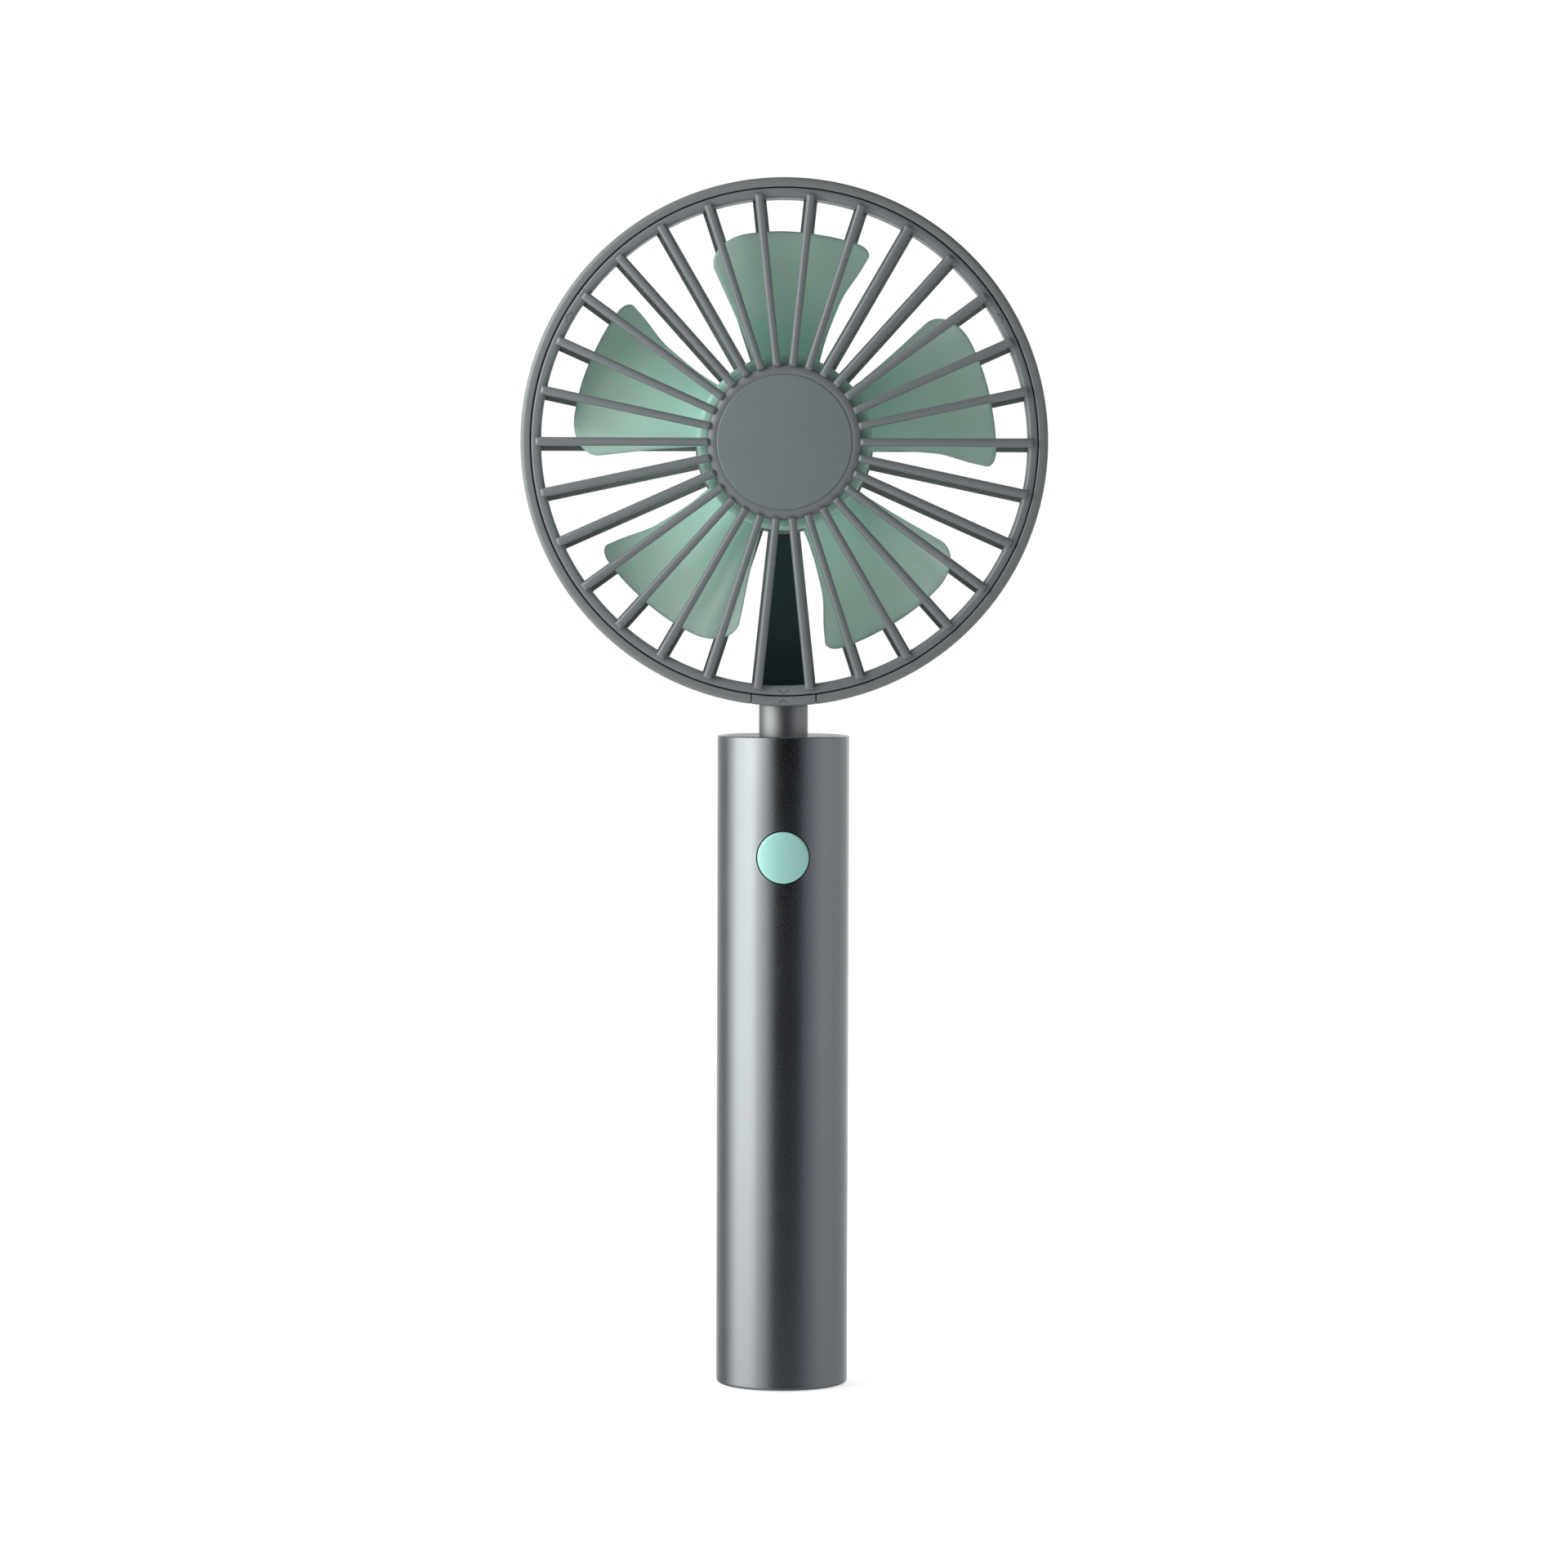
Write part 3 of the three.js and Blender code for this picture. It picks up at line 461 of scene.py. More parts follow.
FINE = dict(grain=1500.0, depth=0.05)
GREY = plastic("grey_abs", (102, 107, 109), rough=0.31, spread=0.03, spec=1.0, **FINE)
# Painted light: faces inside the rim and in front of y 9.5 mm, mainly the rear ribs' front faces,
# are painted lighter, as if lit through the grille.
REAR = plastic("grey_abs_rear", (104, 108, 109), rough=0.33, spread=0.03, spec=1.0, **FINE,
               tint=dict(colour=(142, 149, 148), radii=(0.0405, 0.0409), front_of=0.0095))
BADGE = plastic("grey_abs_badge", (101, 110, 113), rough=0.34, spread=0.03, spec=0.9, **FINE)
CAP = plastic("grey_abs_smooth", (100, 104, 106), rough=0.30, spread=0.03, spec=0.6,
              grain=1500.0, depth=0.004)
LOOKS = {
    "grey_plastic": GREY,
    "dark_plastic": plastic("dark_abs", (46, 68, 70), rough=0.5, spread=0.10,
                            grain=1500.0, depth=0.06),
    "mint_plastic": plastic("mint_abs", (142, 198, 188), rough=0.34, spread=0.02, spec=1.0,
                            coat=0.8, ior=1.62, **FINE),
    # Painted light: blades and rotor hub are painted lighter within 29 mm of the axis, in place of
    # the shade the hub casts there.
    "sage_plastic": plastic("sage_pp", (180, 208, 195), rough=0.42, spread=0.02, spec=1.0,
                            scatter=0.7, **FINE,
                            tint=dict(colour=(200, 246, 227), radii=(0.0145, 0.029))),
    "anodised_tube": metal("anodised_tube_finish", (182, 185, 187), rough=0.26, spread=0.03,
                           grain=4200.0, depth=0.02),
    "neck_metal": metal("turned_aluminium", (190, 190, 190), rough=0.44, spread=0.04,
                        grain=900.0, depth=0.03, stretch=(1.0, 1.0, 9.0)),
    "steel": metal("plain_steel", (186, 188, 190), rough=0.28, spread=0.06,
                   grain=2200.0, depth=0.12),
    "brass": metal("turned_brass", (200, 166, 96), rough=0.28, spread=0.08,
                   grain=2200.0, depth=0.12),
    "copper": metal("copper_wire", (196, 112, 62), rough=0.32, spread=0.25,
                    grain=2400.0, depth=0.5, stretch=(1.0, 6.0, 1.0)),
    "nickel": metal("nickel_strip", (196, 194, 184), rough=0.3, spread=0.06,
                    grain=1800.0, depth=0.12),
    "stator_steel": metal("stator_lamination", (120, 124, 128), rough=0.42, spread=0.25,
                          grain=500.0, depth=0.6, stretch=(0.2, 8.0, 0.2)),
    "circuit_board": plastic("solder_mask", (24, 92, 58), rough=0.35, spread=0.18,
                             grain=900.0, depth=0.2),
    "chip_black": plastic("moulded_package", (30, 31, 34), rough=0.5, spread=0.15),
    "ferrite": plastic("sintered_ferrite", (52, 52, 55), rough=0.62, spread=0.15),
    "cell_wrap": plastic("cell_wrap_film", (52, 102, 160), rough=0.3, spread=0.06),
    "foam": plastic("cell_foam", (44, 46, 50), rough=0.85, spread=0.3, grain=1500.0, depth=0.8),
    "wire_red": plastic("wire_red_pvc", (176, 36, 42), rough=0.4, spread=0.08),
    "wire_black": plastic("wire_black_pvc", (34, 34, 37), rough=0.4, spread=0.12),
    "white_plastic": plastic("natural_nylon", (228, 225, 212), rough=0.45, spread=0.05),
    "light_guide": plastic("frosted_acrylic", (226, 234, 236), rough=0.25, spread=0.03),
}


def dress_cad_pieces():
    for entry in frame["record"]["subparts"]:
        ob = frame["nodes"][entry["node"]]
        look = LOOKS[entry["material_slot"]]
        if not ob.data.materials:
            ob.data.materials.append(look)
        for slot in ob.material_slots:
            slot.material = look


# -------------------------------------------------------------- front grille
def arrow(height, direction):
    """Cutter for an engraved arrow on the front face, with sloping sides.

    height is from the fan axis; direction is 1 for up, -1 for down."""
    half_span, half_rise, depth = 0.80, 0.30, 0.17
    slope = math.atan2(2 * half_rise, half_span)
    ct, st = math.cos(slope), math.sin(slope)

    def outline(half_stroke):
        apex, extra = half_stroke / ct, half_stroke * 0.8
        x, z = half_span + extra * ct, -half_rise - extra * st
        dx, dz = half_stroke * st, half_stroke * ct
        return [(0, half_rise + apex), (x + dx, z + dz), (x - dx, z - dz),
                (0, half_rise - apex), (-x + dx, z - dz), (-x - dx, z + dz)]

    sections = ((0.03, FRONT_Y + depth), (0.15, FRONT_Y), (0.27, FRONT_Y - depth))
    return loft("arrow", [[(x, y, z * direction + height + HEAD_Z) for x, z in outline(half)]
                          for half, y in sections])


def front_grille():
    ring = lathe("front_grille_look", [
        (40.12, -8.3, 0.15), (40.12, FRONT_Y, 0.8), (41.75, FRONT_Y, 0.42), (41.75, -8.3, 0.1),
    ], segments=360, centre=HEAD, steps=8)
    hub = lathe("hub", [
        (0, -9.7), (11.17, -9.7), (11.17, -10.72, 0.03), (11.75, -10.78, 1.2),
        (12.85, -10.35, 0.85), (12.85, -8.6, 0.15), (0, -8.6),
    ], segments=240, centre=HEAD, steps=9)
    ribs = around("ribs", bar(radii=(12.5, 41.0), half_widths=(0.65, 0.71), base=-8.9,
                              crest=-11.4, crest_fillet=0.6, base_fillet=0.2, steps=7))
    union(ring, hub, ribs)
    for a in TAB_ANGLES:
        tab = box("tab", (40.45, 41.0), (-8.5, -6.4), (HEAD_Z - 2.5, HEAD_Z + 2.5))
        union(ring, turn(tab, a))
    for a in (0, 120, 240):
        cut(ring, turn(arrow(height=-41.15, direction=-1), a))
    finish(ring, "front_grille", "grille", "grey_plastic", angle=24)


def grille_badge():
    disc = lathe("grille_badge_look", [
        (0, -9.75), (11.16, -9.75), (11.16, -10.9, 0.25), (0, -10.9),
    ], segments=240, centre=HEAD)
    finish(disc, "grille_badge", "grille", "grey_plastic", BADGE)


# ----------------------------------------------------------------- rear cage
# Recess in the rear arm that takes the lead cover
REBATE_TOP, REBATE_BOTTOM = 15.1, 40.5   # below the fan axis
REBATE_INSET = 0.4                       # from the sides of the arm
COVER_GAP = 0.03
HINGE_HALF = 5.15                        # half width of the rim's hinge opening


def arm_outline(top, bottom_radius, bottom, inset=0.0):
    """(x, z) outline of the arm, as wide as the outer edges of two ribs one pitch apart.

    top and bottom are depths below the fan axis."""
    top_half, bottom_half = (r * math.sin(math.pi / RIB_COUNT) + REAR_RIB_HALF - inset
                             for r in (top, bottom_radius))
    return [(-top_half, HEAD_Z - top), (top_half, HEAD_Z - top),
            (bottom_half, HEAD_Z - bottom), (-bottom_half, HEAD_Z - bottom)]


def rear_cage():
    cage = lathe("rear_cage_look", [
        (RIM_INNER, -8.2), (RIM_INNER, FRONT_Y, 0.2), (RIM_OUTER, FRONT_Y, 0.75),
        (RIM_OUTER, 8.6, 1.6), (42.7, 10.1, 0.6), (41.3, BACK_Y, 0.2), (40.8, BACK_Y),
        (40.8, -6.6, 0.2), (40.4, -7.2, 0.1), (40.4, -8.2, 0.1),
    ], segments=360, centre=HEAD)
    cut(cage, cylinder("bore", "y", 41.14, (-6.4, 12), (-0.14, HEAD_Z), segments=360))
    hub = lathe("rear_hub", [
        (0, 8.2), (3.6, 8.2), (3.6, 6.2), (12.3, 6.2), (12.3, 4.2, 0.15), (14.9, 4.2, 0.3),
        (14.9, BACK_Y, 0.5), (12.75, BACK_Y, 0.12), (12.75, 9.6), (0, 9.6),
    ], segments=240, centre=HEAD)
    ribs = around("rear_ribs", bar(
        radii=(12.9, 42.2), half_widths=(REAR_RIB_HALF, REAR_RIB_HALF), base=8.4, crest=BACK_Y,
        crest_fillet=0.45, base_fillet=0.25))
    # rib ends follow the hub and the rim
    common(ribs, lathe("trim", [(12.6, 8), (41.8, 8), (41.8, 11), (12.6, 11)],
                       segments=240, centre=HEAD))
    union(cage, hub, ribs)
    arm = prism("arm", arm_outline(14, 41.4, 41.3), "y", (5.4, BACK_Y))
    union(cage, soften(arm, width=0.3, segments=3))

    # shallow curved bosses inside the rim, one on each side of the hinge
    bosses = lathe("bosses", [(60.0, 4.9, 0.3), (62.9, 4.9), (62.9, 9.4), (60.0, 9.4, 0.3)],
                   segments=480, centre=(0, 0, HEAD_Z + 19.5))
    boss_y, boss_z = (4, 10), (HEAD_Z - 45, HEAD_Z - 36)
    common(bosses, union(box("boss_right", (HINGE_HALF, 15), boss_y, boss_z),
                         box("boss_left", (-15, -HINGE_HALF), boss_y, boss_z)))
    common(bosses, cylinder("rim_disc", "y", 42.6, (3, 11), (0, HEAD_Z), segments=240))
    union(cage, bosses)

    # opening in the rim for the hinge block, wider at the front
    notch = lathe("notch", [(41.7, -12), (46, -12), (46, 12), (41.7, 12)],
                  segments=240, centre=HEAD)
    common(notch, union(
        box("notch_front", (-5.45, 5.45), (-13, -6.05), (HEAD_Z - 47, HEAD_Z - 38)),
        box("notch_rear", (-HINGE_HALF, HINGE_HALF), (-6.3, 13.5),
            (HEAD_Z - 47.5, HEAD_Z - 37))))
    pin = (PIN_Y, PIN_Z)
    cut(cage, notch,
        cylinder("seat", "x", 1.95, (-HINGE_HALF, HINGE_HALF), pin, segments=64),
        cylinder("pin_bore", "x", 0.81, (-8.4, 16), pin, segments=32))

    rebate = arm_outline(REBATE_TOP, REBATE_BOTTOM, REBATE_BOTTOM, REBATE_INSET)
    cut(cage, box("channel", (-1.3, 1.3), (6.0, 8.2), (HEAD_Z - 39.8, HEAD_Z - 9.4)),
        prism("rebate", rebate, "y", (5.0, 6.2)))
    for a in TAB_ANGLES:
        slot = box("tab_notch", (40.0, 41.2), (-8.6, -6.0), (HEAD_Z - 2.9, HEAD_Z + 2.9))
        cut(cage, turn(slot, a))
    # counterbored holes through the hub
    for a in (90, 210, 330):
        centre = (9, HEAD_Z)
        cut(cage, turn(cylinder("hole", "y", 0.95, (5.5, 9.8), centre, segments=32), a),
            turn(cylinder("counterbore", "y", 1.75, (8.5, 9.8), centre, segments=48), a))
    finish(cage, "rear_cage", "head", "grey_plastic", REAR)


def lead_cover():
    bottom = REBATE_BOTTOM - COVER_GAP
    outline = arm_outline(REBATE_TOP + COVER_GAP, bottom, bottom, REBATE_INSET + COVER_GAP)
    # The cover spans most of the arm's face; its dark colour is partly the part's own and partly
    # painted shade for the arm deep in the cage.
    cover = prism("lead_cover_look", outline, "y", (5.4, 6.15))
    soften(cover, width=0.12, segments=2)
    finish(cover, "lead_cover", "head", "dark_plastic")


def rear_hub_cap():
    cap = lathe("rear_hub_cap_look", [(0, 9.65), (12.5, 9.65), (12.5, 10.5, 0.25), (0, 10.5)],
                segments=240, centre=HEAD)
    finish(cap, "rear_hub_cap", "head", "grey_plastic")


# ------------------------------------------------------------------ impeller
# Blade edges: (radius mm, angle in degrees from +X towards +Z)
LEADING = [(13, 66.0), (14.4, 66.9), (19.6, 68.8), (25, 68.6), (31.5, 66.3), (36, 65.4)]
TRAILING = [(13, 110.0), (14.4, 110.3), (22, 111.1), (29.2, 112.0), (36, 112.4)]
BLADE_COUNT = 5
BLADE_ROOT, BLADE_TIP = 13.75, 35.42


def smooth_chart(table):
    """Monotone cubic through a table."""
    x, y = np.array(table, float).T
    step = np.diff(x)
    rate = np.diff(y) / step
    slope = np.zeros(len(x))
    slope[0], slope[-1] = rate[0], rate[-1]
    for i in range(1, len(x) - 1):
        if rate[i - 1] * rate[i] > 0:
            w1, w2 = 2 * step[i] + step[i - 1], step[i] + 2 * step[i - 1]
            slope[i] = (w1 + w2) / (w1 / rate[i - 1] + w2 / rate[i])

    def value(v):
        v = min(max(v, x[0]), x[-1])
        i = min(int(np.searchsorted(x, v, side="right")) - 1, len(x) - 2)
        t = (v - x[i]) / step[i]
        return float((2 * t**3 - 3 * t**2 + 1) * y[i]
                     + (t**3 - 2 * t**2 + t) * step[i] * slope[i]
                     + (-2 * t**3 + 3 * t**2) * y[i + 1]
                     + (t**3 - t**2) * step[i] * slope[i + 1])
    return value


leading, trailing = smooth_chart(LEADING), smooth_chart(TRAILING)


def arc(x):
    """Height of a unit quarter circle."""
    return math.sqrt(max(0.0, 1 - x ** 2))


def tip_radius(u):
    """Outer radius: a small round at the leading corner, a wide one at the trailing corner."""
    r = BLADE_TIP - 0.3 * min(1.0, max(0.0, (u - 0.08) / 0.25))
    r -= 1.5 * (1 - arc(max(0.0, 1 - u / 0.085)))
    return r - 4.6 * (1 - arc(max(0.0, (u - 0.75) / 0.25)))


def blade_at(u, r):
    """Middle surface: u runs from the leading edge (rear) to the trailing edge (front)."""
    a = math.radians(leading(r) + u * (trailing(r) - leading(r)))
    k = (r - 14) / 21.5
    back, front = 3.0 - 0.9 * k, -7.1 + 0.4 * k
    s = u - 0.24 * u * (1 - u)
    return np.array((r * math.cos(a), back + (front - back) * s, r * math.sin(a)))


def blade_point(u, r, lift):
    """Point raised off the middle surface along its normal."""
    e = 1e-3
    du = blade_at(min(u + e, 1), r) - blade_at(max(u - e, 0), r)
    dr = blade_at(u, r + 0.05) - blade_at(u, r - 0.05)
    normal = np.cross(du, dr)
    return blade_at(u, r) + normal / np.linalg.norm(normal) * lift


def blade_thickness(u, v, r, span):
    """Thinner towards the tip and both edges, and rounded off near every free edge."""
    edge = min(u * r * 0.78, (1 - u) * r * 0.78, (1 - v) * span)
    thickness = (1.2 - 0.35 * v) * (0.7 + 0.3 * math.sin(math.pi * u))
    return thickness * (0.28 + 0.72 * arc(1 - min(1.0, edge / 0.55)))


def blade(degrees):
    # stations crowd towards both edges (u) and towards the tip (v)
    nu, nv = 60, 26
    us = [0.5 - 0.5 * math.cos(math.pi * i / nu) for i in range(nu + 1)]
    vs = [1 - (1 - i / nv) ** 1.5 for i in range(nv + 1)]
    g = {}                       # (side, i, j) to vertex index
    verts, faces = [], []
    t0 = math.radians(degrees)
    ct, st = math.cos(t0), math.sin(t0)
    for side in (0, 1):
        for i, u in enumerate(us):
            span = tip_radius(u) - BLADE_ROOT
            for j, v in enumerate(vs):
                r = BLADE_ROOT + span * v
                x, y, z = blade_point(u, r, (side - 0.5) * blade_thickness(u, v, r, span))
                g[side, i, j] = len(verts)
                verts.append((x * ct - z * st, y, x * st + z * ct + HEAD_Z))
    for i in range(nu):
        for j in range(nv):
            faces.append((g[1, i, j], g[1, i + 1, j], g[1, i + 1, j + 1], g[1, i, j + 1]))
            faces.append((g[0, i, j], g[0, i, j + 1], g[0, i + 1, j + 1], g[0, i + 1, j]))
    for i in range(nu):
        for j in (0, nv):
            faces.append((g[0, i, j], g[0, i + 1, j], g[1, i + 1, j], g[1, i, j]))
    for j in range(nv):
        for i in (0, nu):
            faces.append((g[0, i, j], g[1, i, j], g[1, i, j + 1], g[0, i, j + 1]))
    return make("blade", verts, faces)


def impeller():
    fan = lathe("impeller_look", [
        (0, -7.8), (14.5, -7.8, 0.8), (14.5, 3.6, 0.2), (13.2, 3.6, 0.15), (13.2, -6.4),
        (2.6, -6.4), (2.6, -4.2), (1.04, -4.2), (1.04, -7.2), (0, -7.2),
    ], segments=240, centre=HEAD)
    for i in range(BLADE_COUNT):
        union(fan, blade(360 // BLADE_COUNT * i))
    finish(fan, "impeller", "rotor", "sage_plastic", angle=40)


# -------------------------------------------------------------------- handle
def stadium(name, half_width, half_height, ys, segments=64):
    """Round-ended bar along Y at the height of the port."""
    flat = half_width - half_height
    return union(
        box(name, (-flat, flat), ys, (PORT_Z - half_height, PORT_Z + half_height)),
        cylinder("left_end", "y", half_height, ys, (-flat, PORT_Z), segments),
        cylinder("right_end", "y", half_height, ys, (flat, PORT_Z), segments))


def handle_tube():
    tube = lathe("handle_tube_look", [
        (9.8, 0), (TUBE_R, 0, 0.5), (TUBE_R, TUBE_TOP, 0.3), (9.8, TUBE_TOP, 0.03),
    ], segments=288, axis="z")
    port = stadium("port", *(half + OPENING_GAP for half in PORT_HALF), (5, 12), segments=48)
    cut(tube,
        cylinder("button_hole", "y", BUTTON_R + OPENING_GAP, (-12, 0), (0, BUTTON_Z), 128),
        port, cylinder("lamp_hole", "y", 0.95, (5, 12), (0, LAMP_Z), 48))
    finish(tube, "handle_tube", "handle", "anodised_tube", angle=25)


def handle_caps():
    top = lathe("handle_top_cap_look", [
        (3.65, 105.6), (9.79, 105.6), (9.79, 108.56, 0.04), (3.65, 108.56),
    ], segments=240, axis="z")
    finish(top, "handle_top_cap", "handle", "grey_plastic", CAP)
    bottom = lathe("handle_bottom_cap_look", [
        (0, 0), (9.75, 0, 0.2), (9.75, 3.0), (8.4, 3.0), (8.4, 1.8), (0, 1.8),
    ], segments=240, axis="z")
    finish(bottom, "handle_bottom_cap", "handle", "dark_plastic")


def neck_tube():
    neck = lathe("neck_tube_look", [
        (2.6, 102.9), (3.6, 102.9), (3.6, 108.45), (4.08, 108.42, 0.04), (4.08, 113.56, 0.04),
        (2.6, 113.56),
    ], segments=192, axis="z")
    finish(neck, "neck_tube", "handle", "neck_metal")


def hinge_block():
    # a piece of the rim's curve, wider at the front
    block = lathe("hinge_block_look", [
        (RIM_INNER, -8.4), (RIM_INNER, FRONT_Y, 0.2), (RIM_OUTER, FRONT_Y, 0.8),
        (RIM_OUTER, 5.6, 0.1), (42.0, 5.6), (42.0, -8.4),
    ], segments=360, centre=HEAD)
    common(block, union(
        box("block_front", (-5.25, 5.25), (-12, -6.3), (HEAD_Z - 45, HEAD_Z - 38)),
        box("block_rear", (-4.9, 4.9), (-6.6, 12), (HEAD_Z - 45.5, HEAD_Z - 37))))
    soften(block, width=0.12, segments=3)
    # (y, z) outline joining the block to the barrel
    web = prism("web", [
        (4.6, HEAD_Z - 43.2), (5.6, HEAD_Z - 43.2), (PIN_Y, HEAD_Z - 43.04),
        (PIN_Y, HEAD_Z - 41.2), (5.75, HEAD_Z - 41.75), (4.6, HEAD_Z - 41.95),
    ], "x", (-4.85, 4.85))
    barrel = lathe("barrel", [(0, -4.9), (1.7, -4.9, 0.15), (1.7, 4.9, 0.15), (0, 4.9)],
                   segments=64, axis="x", centre=(0, PIN_Y, PIN_Z))
    foot = cylinder("foot", "z", 4.0, (113.55, 114.6), (0, 0), segments=192)
    spigot = cylinder("spigot", "z", 2.55, (109.5, 114.2), (0, 0), segments=96)
    union(block, web, barrel, foot, spigot)
    cut(block, cylinder("wire_bore", "z", 1.3, (109, 114.9), (0, 0), segments=48),
        cylinder("pin_bore", "x", 0.79, (-8, 8), (PIN_Y, PIN_Z), segments=32),
        arrow(height=-42.72, direction=1))
    finish(block, "hinge_block", "handle", "grey_plastic")


def hinge_pin():
    pin = lathe("hinge_pin_look", [(0, -8.2), (0.75, -8.2, 0.15), (0.75, 8.2, 0.15), (0, 8.2)],
                segments=48, axis="x", centre=(0, PIN_Y, PIN_Z))
    finish(pin, "hinge_pin", "handle", "steel")


def button_cap():
    """Round button with a cylindrically curved face and a rounded edge."""
    back_y, face_centre_y, face_r, fillet = -8.0, -2.2, 9.4, 0.32
    rings = [(0, None)]          # (inset, depth behind the face); None is the flat back
    for i in range(7):
        t = i / 6 * math.pi / 2
        rings.append((fillet * (1 - math.cos(t)), fillet * (1 - math.sin(t))))
    rings += [(fillet + 3.9 * i / 9, 0.0) for i in range(1, 10)]
    loops = []
    for inset, depth in rings:
        loop = []
        for i in range(160):
            t = 2 * math.pi * i / 160
            x, z = (BUTTON_R - inset) * math.cos(t), (BUTTON_R - inset) * math.sin(t)
            y = back_y
            if depth is not None:
                y = face_centre_y - math.sqrt(face_r ** 2 - x * x) + depth
            loop.append((x, y, BUTTON_Z + z))
        loops.append(loop)
    button = loft("button_cap_look", loops)
    union(button, lathe("stem", [
        (0, -9.0), (3.0, -9.0), (3.0, -8.0), (5.2, -8.0, 0.08), (5.2, -7.2, 0.08), (1.6, -7.2),
        (1.6, -4.8, 0.1), (0, -4.8),
    ], segments=96, centre=(0, 0, BUTTON_Z)))
    finish(button, "button_cap", "button", "mint_plastic")


def charging_socket():
    wall = 0.3
    socket = stadium("charging_socket_look", *PORT_HALF, (0.85, 9.9))
    cut(socket, stadium("cavity", *(half - wall for half in PORT_HALF), (3.6, 10.5)))
    union(socket, box("tongue", (-3.35, 3.35), (3.5, 8.9), (PORT_Z - 0.35, PORT_Z + 0.35)))
    finish(socket, "charging_socket", "handle", "steel")


def lamp_light_guide():
    guide = lathe("lamp_light_guide_look", [
        (0, 1.7), (1.3, 1.7), (1.3, 8.6), (0.88, 8.6), (0.88, 10.95, 0.25), (0, 10.95),
    ], segments=64, centre=(0, 0, LAMP_Z))
    finish(guide, "lamp_light_guide", "handle", "light_guide")


# --------------------------------------------------------- floor, light, view
def make_floor():
    floor = make("floor", [(-900, -900, 0), (900, -900, 0), (900, 1500, 0), (-900, 1500, 0)],
                 [(0, 1, 2, 3)])
    floor.location.z = -0.0002
    paper, nt, bsdf, coords = new_material("floor_paper")
    mottle = noise(nt, coords, scale=12.0)
    base = mix_colour(nt, mottle, (0.93, 0.93, 0.93, 1), (0.95, 0.95, 0.95, 1))
    nt.links.new(base, bsdf.inputs["Base Color"])
    bsdf.inputs["Roughness"].default_value = 0.9
    bsdf.inputs["Specular IOR Level"].default_value = 0.1
    bsdf.inputs["Emission Color"].default_value = (1, 1, 1, 1)
    bsdf.inputs["Emission Strength"].default_value = 0.68
    floor.data.materials.append(paper)
    floor.visible_glossy = False


def background(nt, colour, strength=1.0):
    node = nt.nodes.new("ShaderNodeBackground")
    feed(nt, node.inputs[0], colour)
    feed(nt, node.inputs[1], strength)
    return node.outputs[0]


def ramp(nt, factor, stops, tint=lambda v: (v, v, v)):
    """Eased ramp through stops of (position 0-1, brightness)."""
    node = nt.nodes.new("ShaderNodeValToRGB")
    elements = node.color_ramp.elements
    node.color_ramp.interpolation = "EASE"
    while len(elements) < len(stops):
        elements.new(0.5)
    for element, (position, value) in zip(elements, stops):
        element.position = position
        element.color = (*tint(value), 1)
    nt.links.new(factor, node.inputs[0])
    return node.outputs[0]


# Reflected surroundings: (azimuth in degrees, brightness).
# 0 is towards the camera (-Y), +90 to the left (-X), -90 to the right.
SURROUNDINGS = [
    (-180, 1.0), (-158, 0.85), (-140, 0.42), (-110, 0.35), (-72, 0.40), (-46, 0.23),
    (-26, 0.02), (-6, 0.003), (12, 0.006), (36, 0.74), (58, 1.62), (86, 1.60),
    (106, 0.65), (119, 0.22), (142, 0.34), (162, 0.8), (180, 1.0)]
CEILING = (0.07, 0.075, 0.08, 1)
TABLE = (0.16, 0.17, 0.19, 1)
PANEL_DIRECTION = Vector((-0.68, -0.56, 0.47)).normalized()


def surroundings_tint(v):
    """Near neutral where bright, bluish where dark."""
    return (v * 0.97, v, v * 1.0) if v > 0.3 else (v * 0.93, v * 0.97, v * 1.12)


def polished_world(nt, x, y, z):
    """What glossy rays see: soft boxes all round, a dim table and ceiling, a high panel."""
    azimuth = math_node(nt, "ARCTAN2", math_node(nt, "MULTIPLY", x, -1.0),
                        math_node(nt, "MULTIPLY", y, -1.0))
    turn_share = math_node(nt, "MULTIPLY_ADD", azimuth, 1 / (2 * math.pi), 0.5)
    softbox = ramp(nt, turn_share, [((a + 180) / 360, v) for a, v in SURROUNDINGS],
                   surroundings_tint)
    below = remap(nt, z, (-0.085, -0.42))
    above = remap(nt, z, (0.38, 0.75), smooth=True)
    softbox = mix_colour(nt, above, softbox, CEILING)
    # share of the soft boxes mirrored in the table
    share = nt.nodes.new("ShaderNodeValue")
    share.outputs[0].default_value = 0.2
    table_top = mix_colour(nt, share.outputs[0], TABLE, softbox)
    room = background(nt, mix_colour(nt, below, softbox, table_top))
    along_x, along_y, along_z = (math_node(nt, "MULTIPLY", axis, part)
                                 for axis, part in zip((x, y, z), PANEL_DIRECTION))
    facing = math_node(nt, "ADD", along_x, math_node(nt, "ADD", along_y, along_z))
    panel = remap(nt, facing, (0.85, 0.97), (0.0, 0.5), smooth=True)
    both = nt.nodes.new("ShaderNodeAddShader")
    nt.links.new(room, both.inputs[0])
    nt.links.new(background(nt, (1, 1, 1, 1), panel), both.inputs[1])
    return both.outputs[0]


def matt_world(nt, x, y, z):
    """What other rays see: a tent brighter from above, the camera side and the rear left."""
    height = math_node(nt, "MULTIPLY_ADD", z, 0.5, 0.5)
    tent = ramp(nt, height, [(0.0, 0.08), (0.45, 0.09), (0.75, 0.18), (1.0, 0.32)])
    camera_side = remap(nt, y, (-0.6, -0.95), smooth=True)
    tent = mix_colour(nt, camera_side, tent, (0.55, 0.55, 0.55, 1))
    behind = remap(nt, y, (0.05, 0.6), smooth=True)
    rear = ramp(nt, math_node(nt, "MULTIPLY_ADD", x, 0.5, 0.5),
                [(0.0, 1.1), (0.35, 1.0), (0.6, 0.5), (1.0, 0.3)])
    return background(nt, mix_colour(nt, behind, tent, rear))


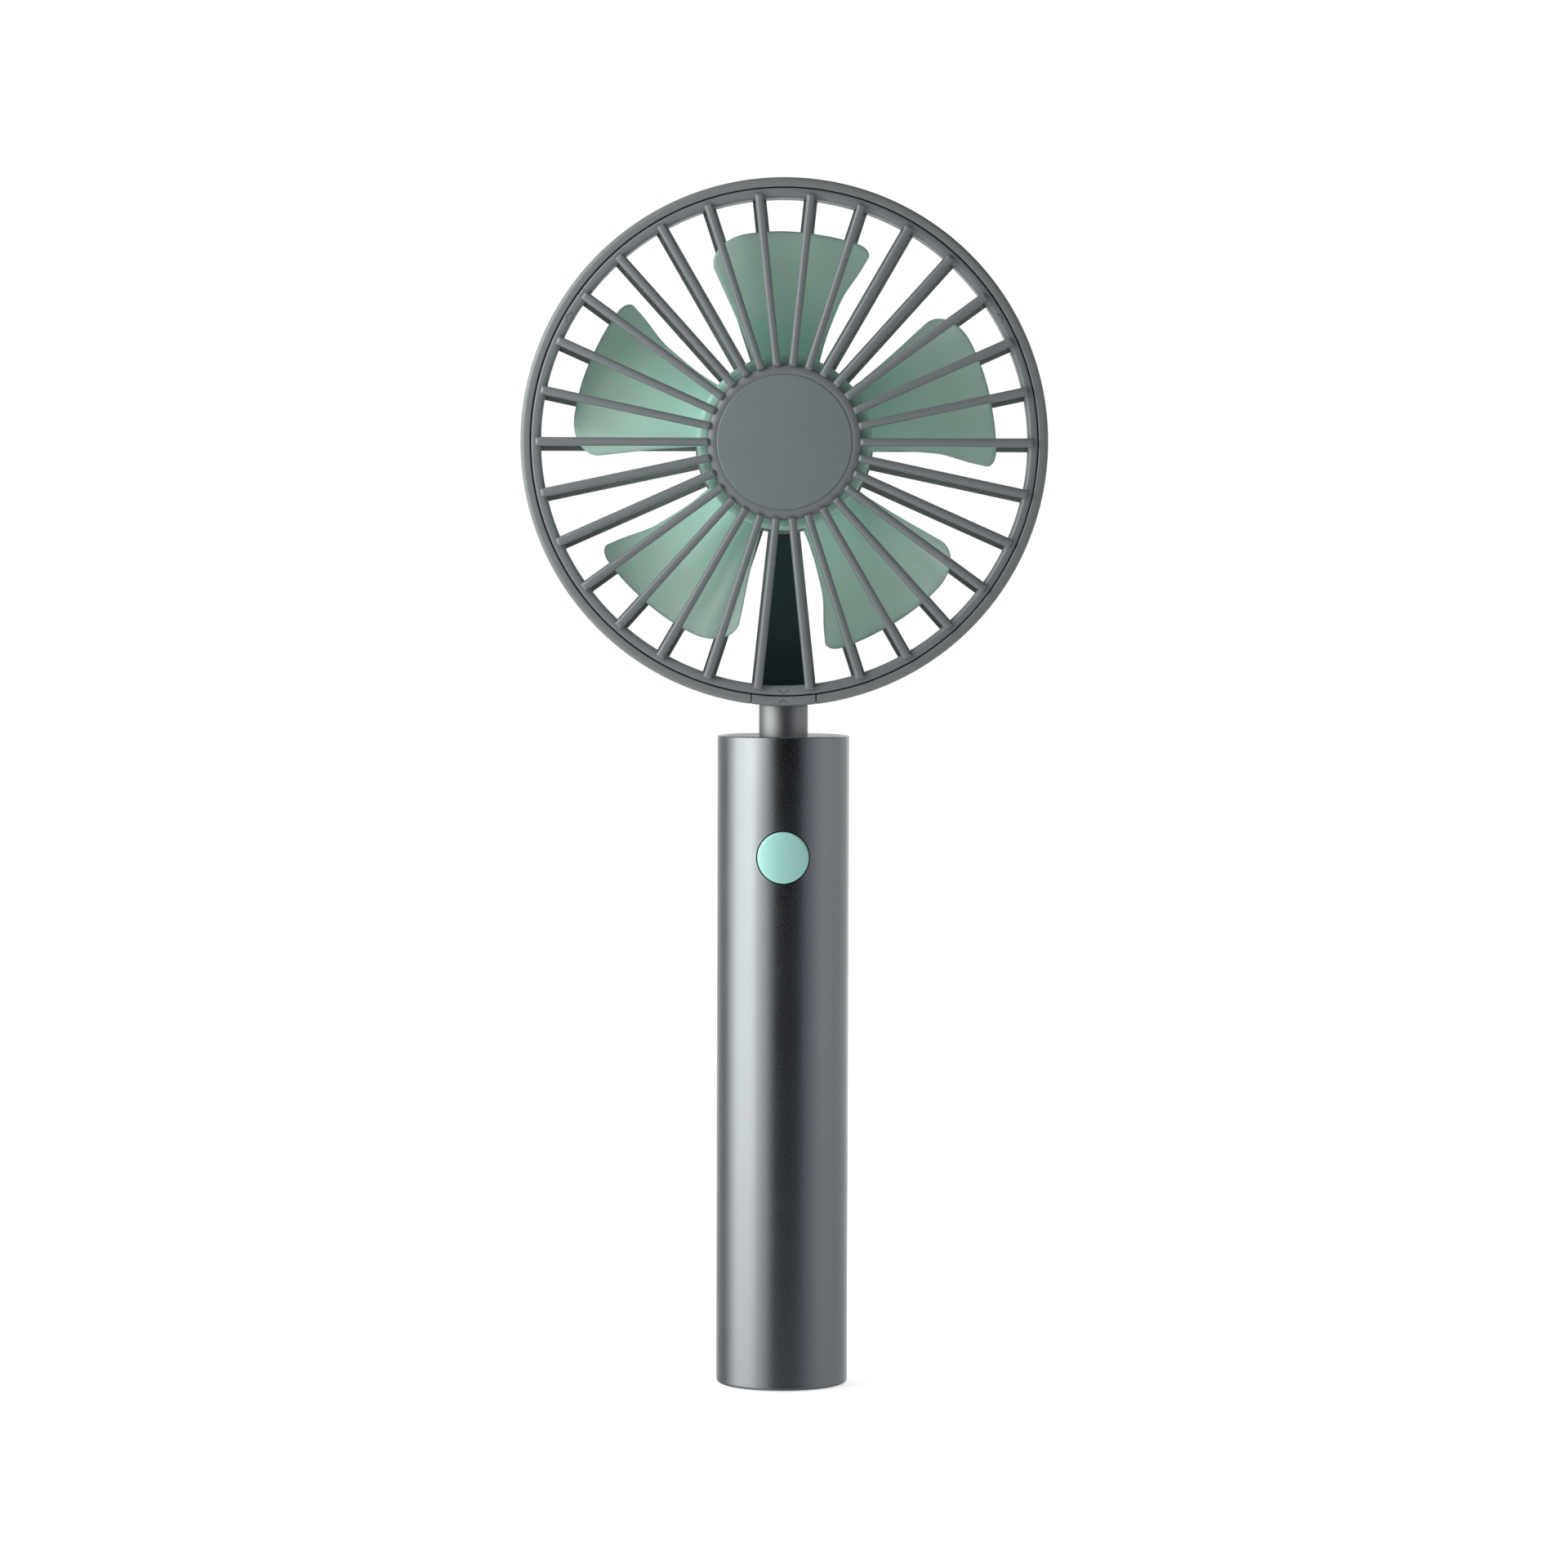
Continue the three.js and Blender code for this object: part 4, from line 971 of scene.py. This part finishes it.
def make_world():
    world = bpy.data.worlds.new("studio")
    scene.world = world
    world.use_nodes = True
    nt = world.node_tree
    nt.nodes.clear()
    out = nt.nodes.new("ShaderNodeOutputWorld")
    direction = nt.nodes.new("ShaderNodeTexCoord").outputs["Generated"]
    xyz = nt.nodes.new("ShaderNodeSeparateXYZ")
    nt.links.new(direction, xyz.inputs[0])
    polished = polished_world(nt, *xyz.outputs)
    shader = matt_world(nt, *xyz.outputs)
    white = background(nt, (1, 1, 1, 1))
    path = nt.nodes.new("ShaderNodeLightPath")
    for flag, seen in (("Is Glossy Ray", polished), ("Is Camera Ray", white)):
        mix = nt.nodes.new("ShaderNodeMixShader")
        nt.links.new(path.outputs[flag], mix.inputs[0])
        nt.links.new(shader, mix.inputs[1])
        nt.links.new(seen, mix.inputs[2])
        shader = mix.outputs[0]
    nt.links.new(shader, out.inputs[0])
    world.cycles.sampling_method = "NONE"


def softlight(name, where, target, size, watts):
    data = bpy.data.lights.new(name, "AREA")
    data.shape, data.size, data.size_y = "RECTANGLE", size[0], size[1]
    data.energy = watts
    ob = bpy.data.objects.new(name, data)
    scene.collection.objects.link(ob)
    aim = (Vector(target) - Vector(where)).to_track_quat("-Z", "Y")
    ob.matrix_world = Matrix.Translation(where) @ aim.to_matrix().to_4x4()
    ob.visible_glossy = False
    ob.visible_camera = False


def make_camera():
    data = bpy.data.cameras.new("camera")
    camera = bpy.data.objects.new("camera", data)
    scene.collection.objects.link(camera)
    data.sensor_width = 36.0
    data.lens = 116.53125
    data.clip_start, data.clip_end = 0.02, 20.0
    look_down, roll = math.radians(90 - 2.531), math.radians(0.177)
    camera.matrix_world = (Matrix.Translation((0.00012, -0.848, 0.1379))
                           @ Matrix.Rotation(look_down, 4, "X") @ Matrix.Rotation(roll, 4, "Z"))
    scene.camera = camera
    scene.view_settings.view_transform = "Standard"
    scene.view_settings.look = "None"


dress_cad_pieces()
for build in (front_grille, grille_badge, rear_cage, lead_cover, rear_hub_cap, impeller,
              handle_tube, handle_caps, neck_tube, hinge_block, hinge_pin, button_cap,
              charging_socket, lamp_light_guide, make_floor, make_world):
    build()
softlight("key", where=(-0.185, -0.115, 0.232), target=(-0.01, 0.0, 0.152),
          size=(0.10, 0.20), watts=0.62)
softlight("edge", where=(-0.22, 0.03, 0.185), target=(0.0, 0.0, 0.157),
          size=(0.10, 0.16), watts=0.38)
make_camera()
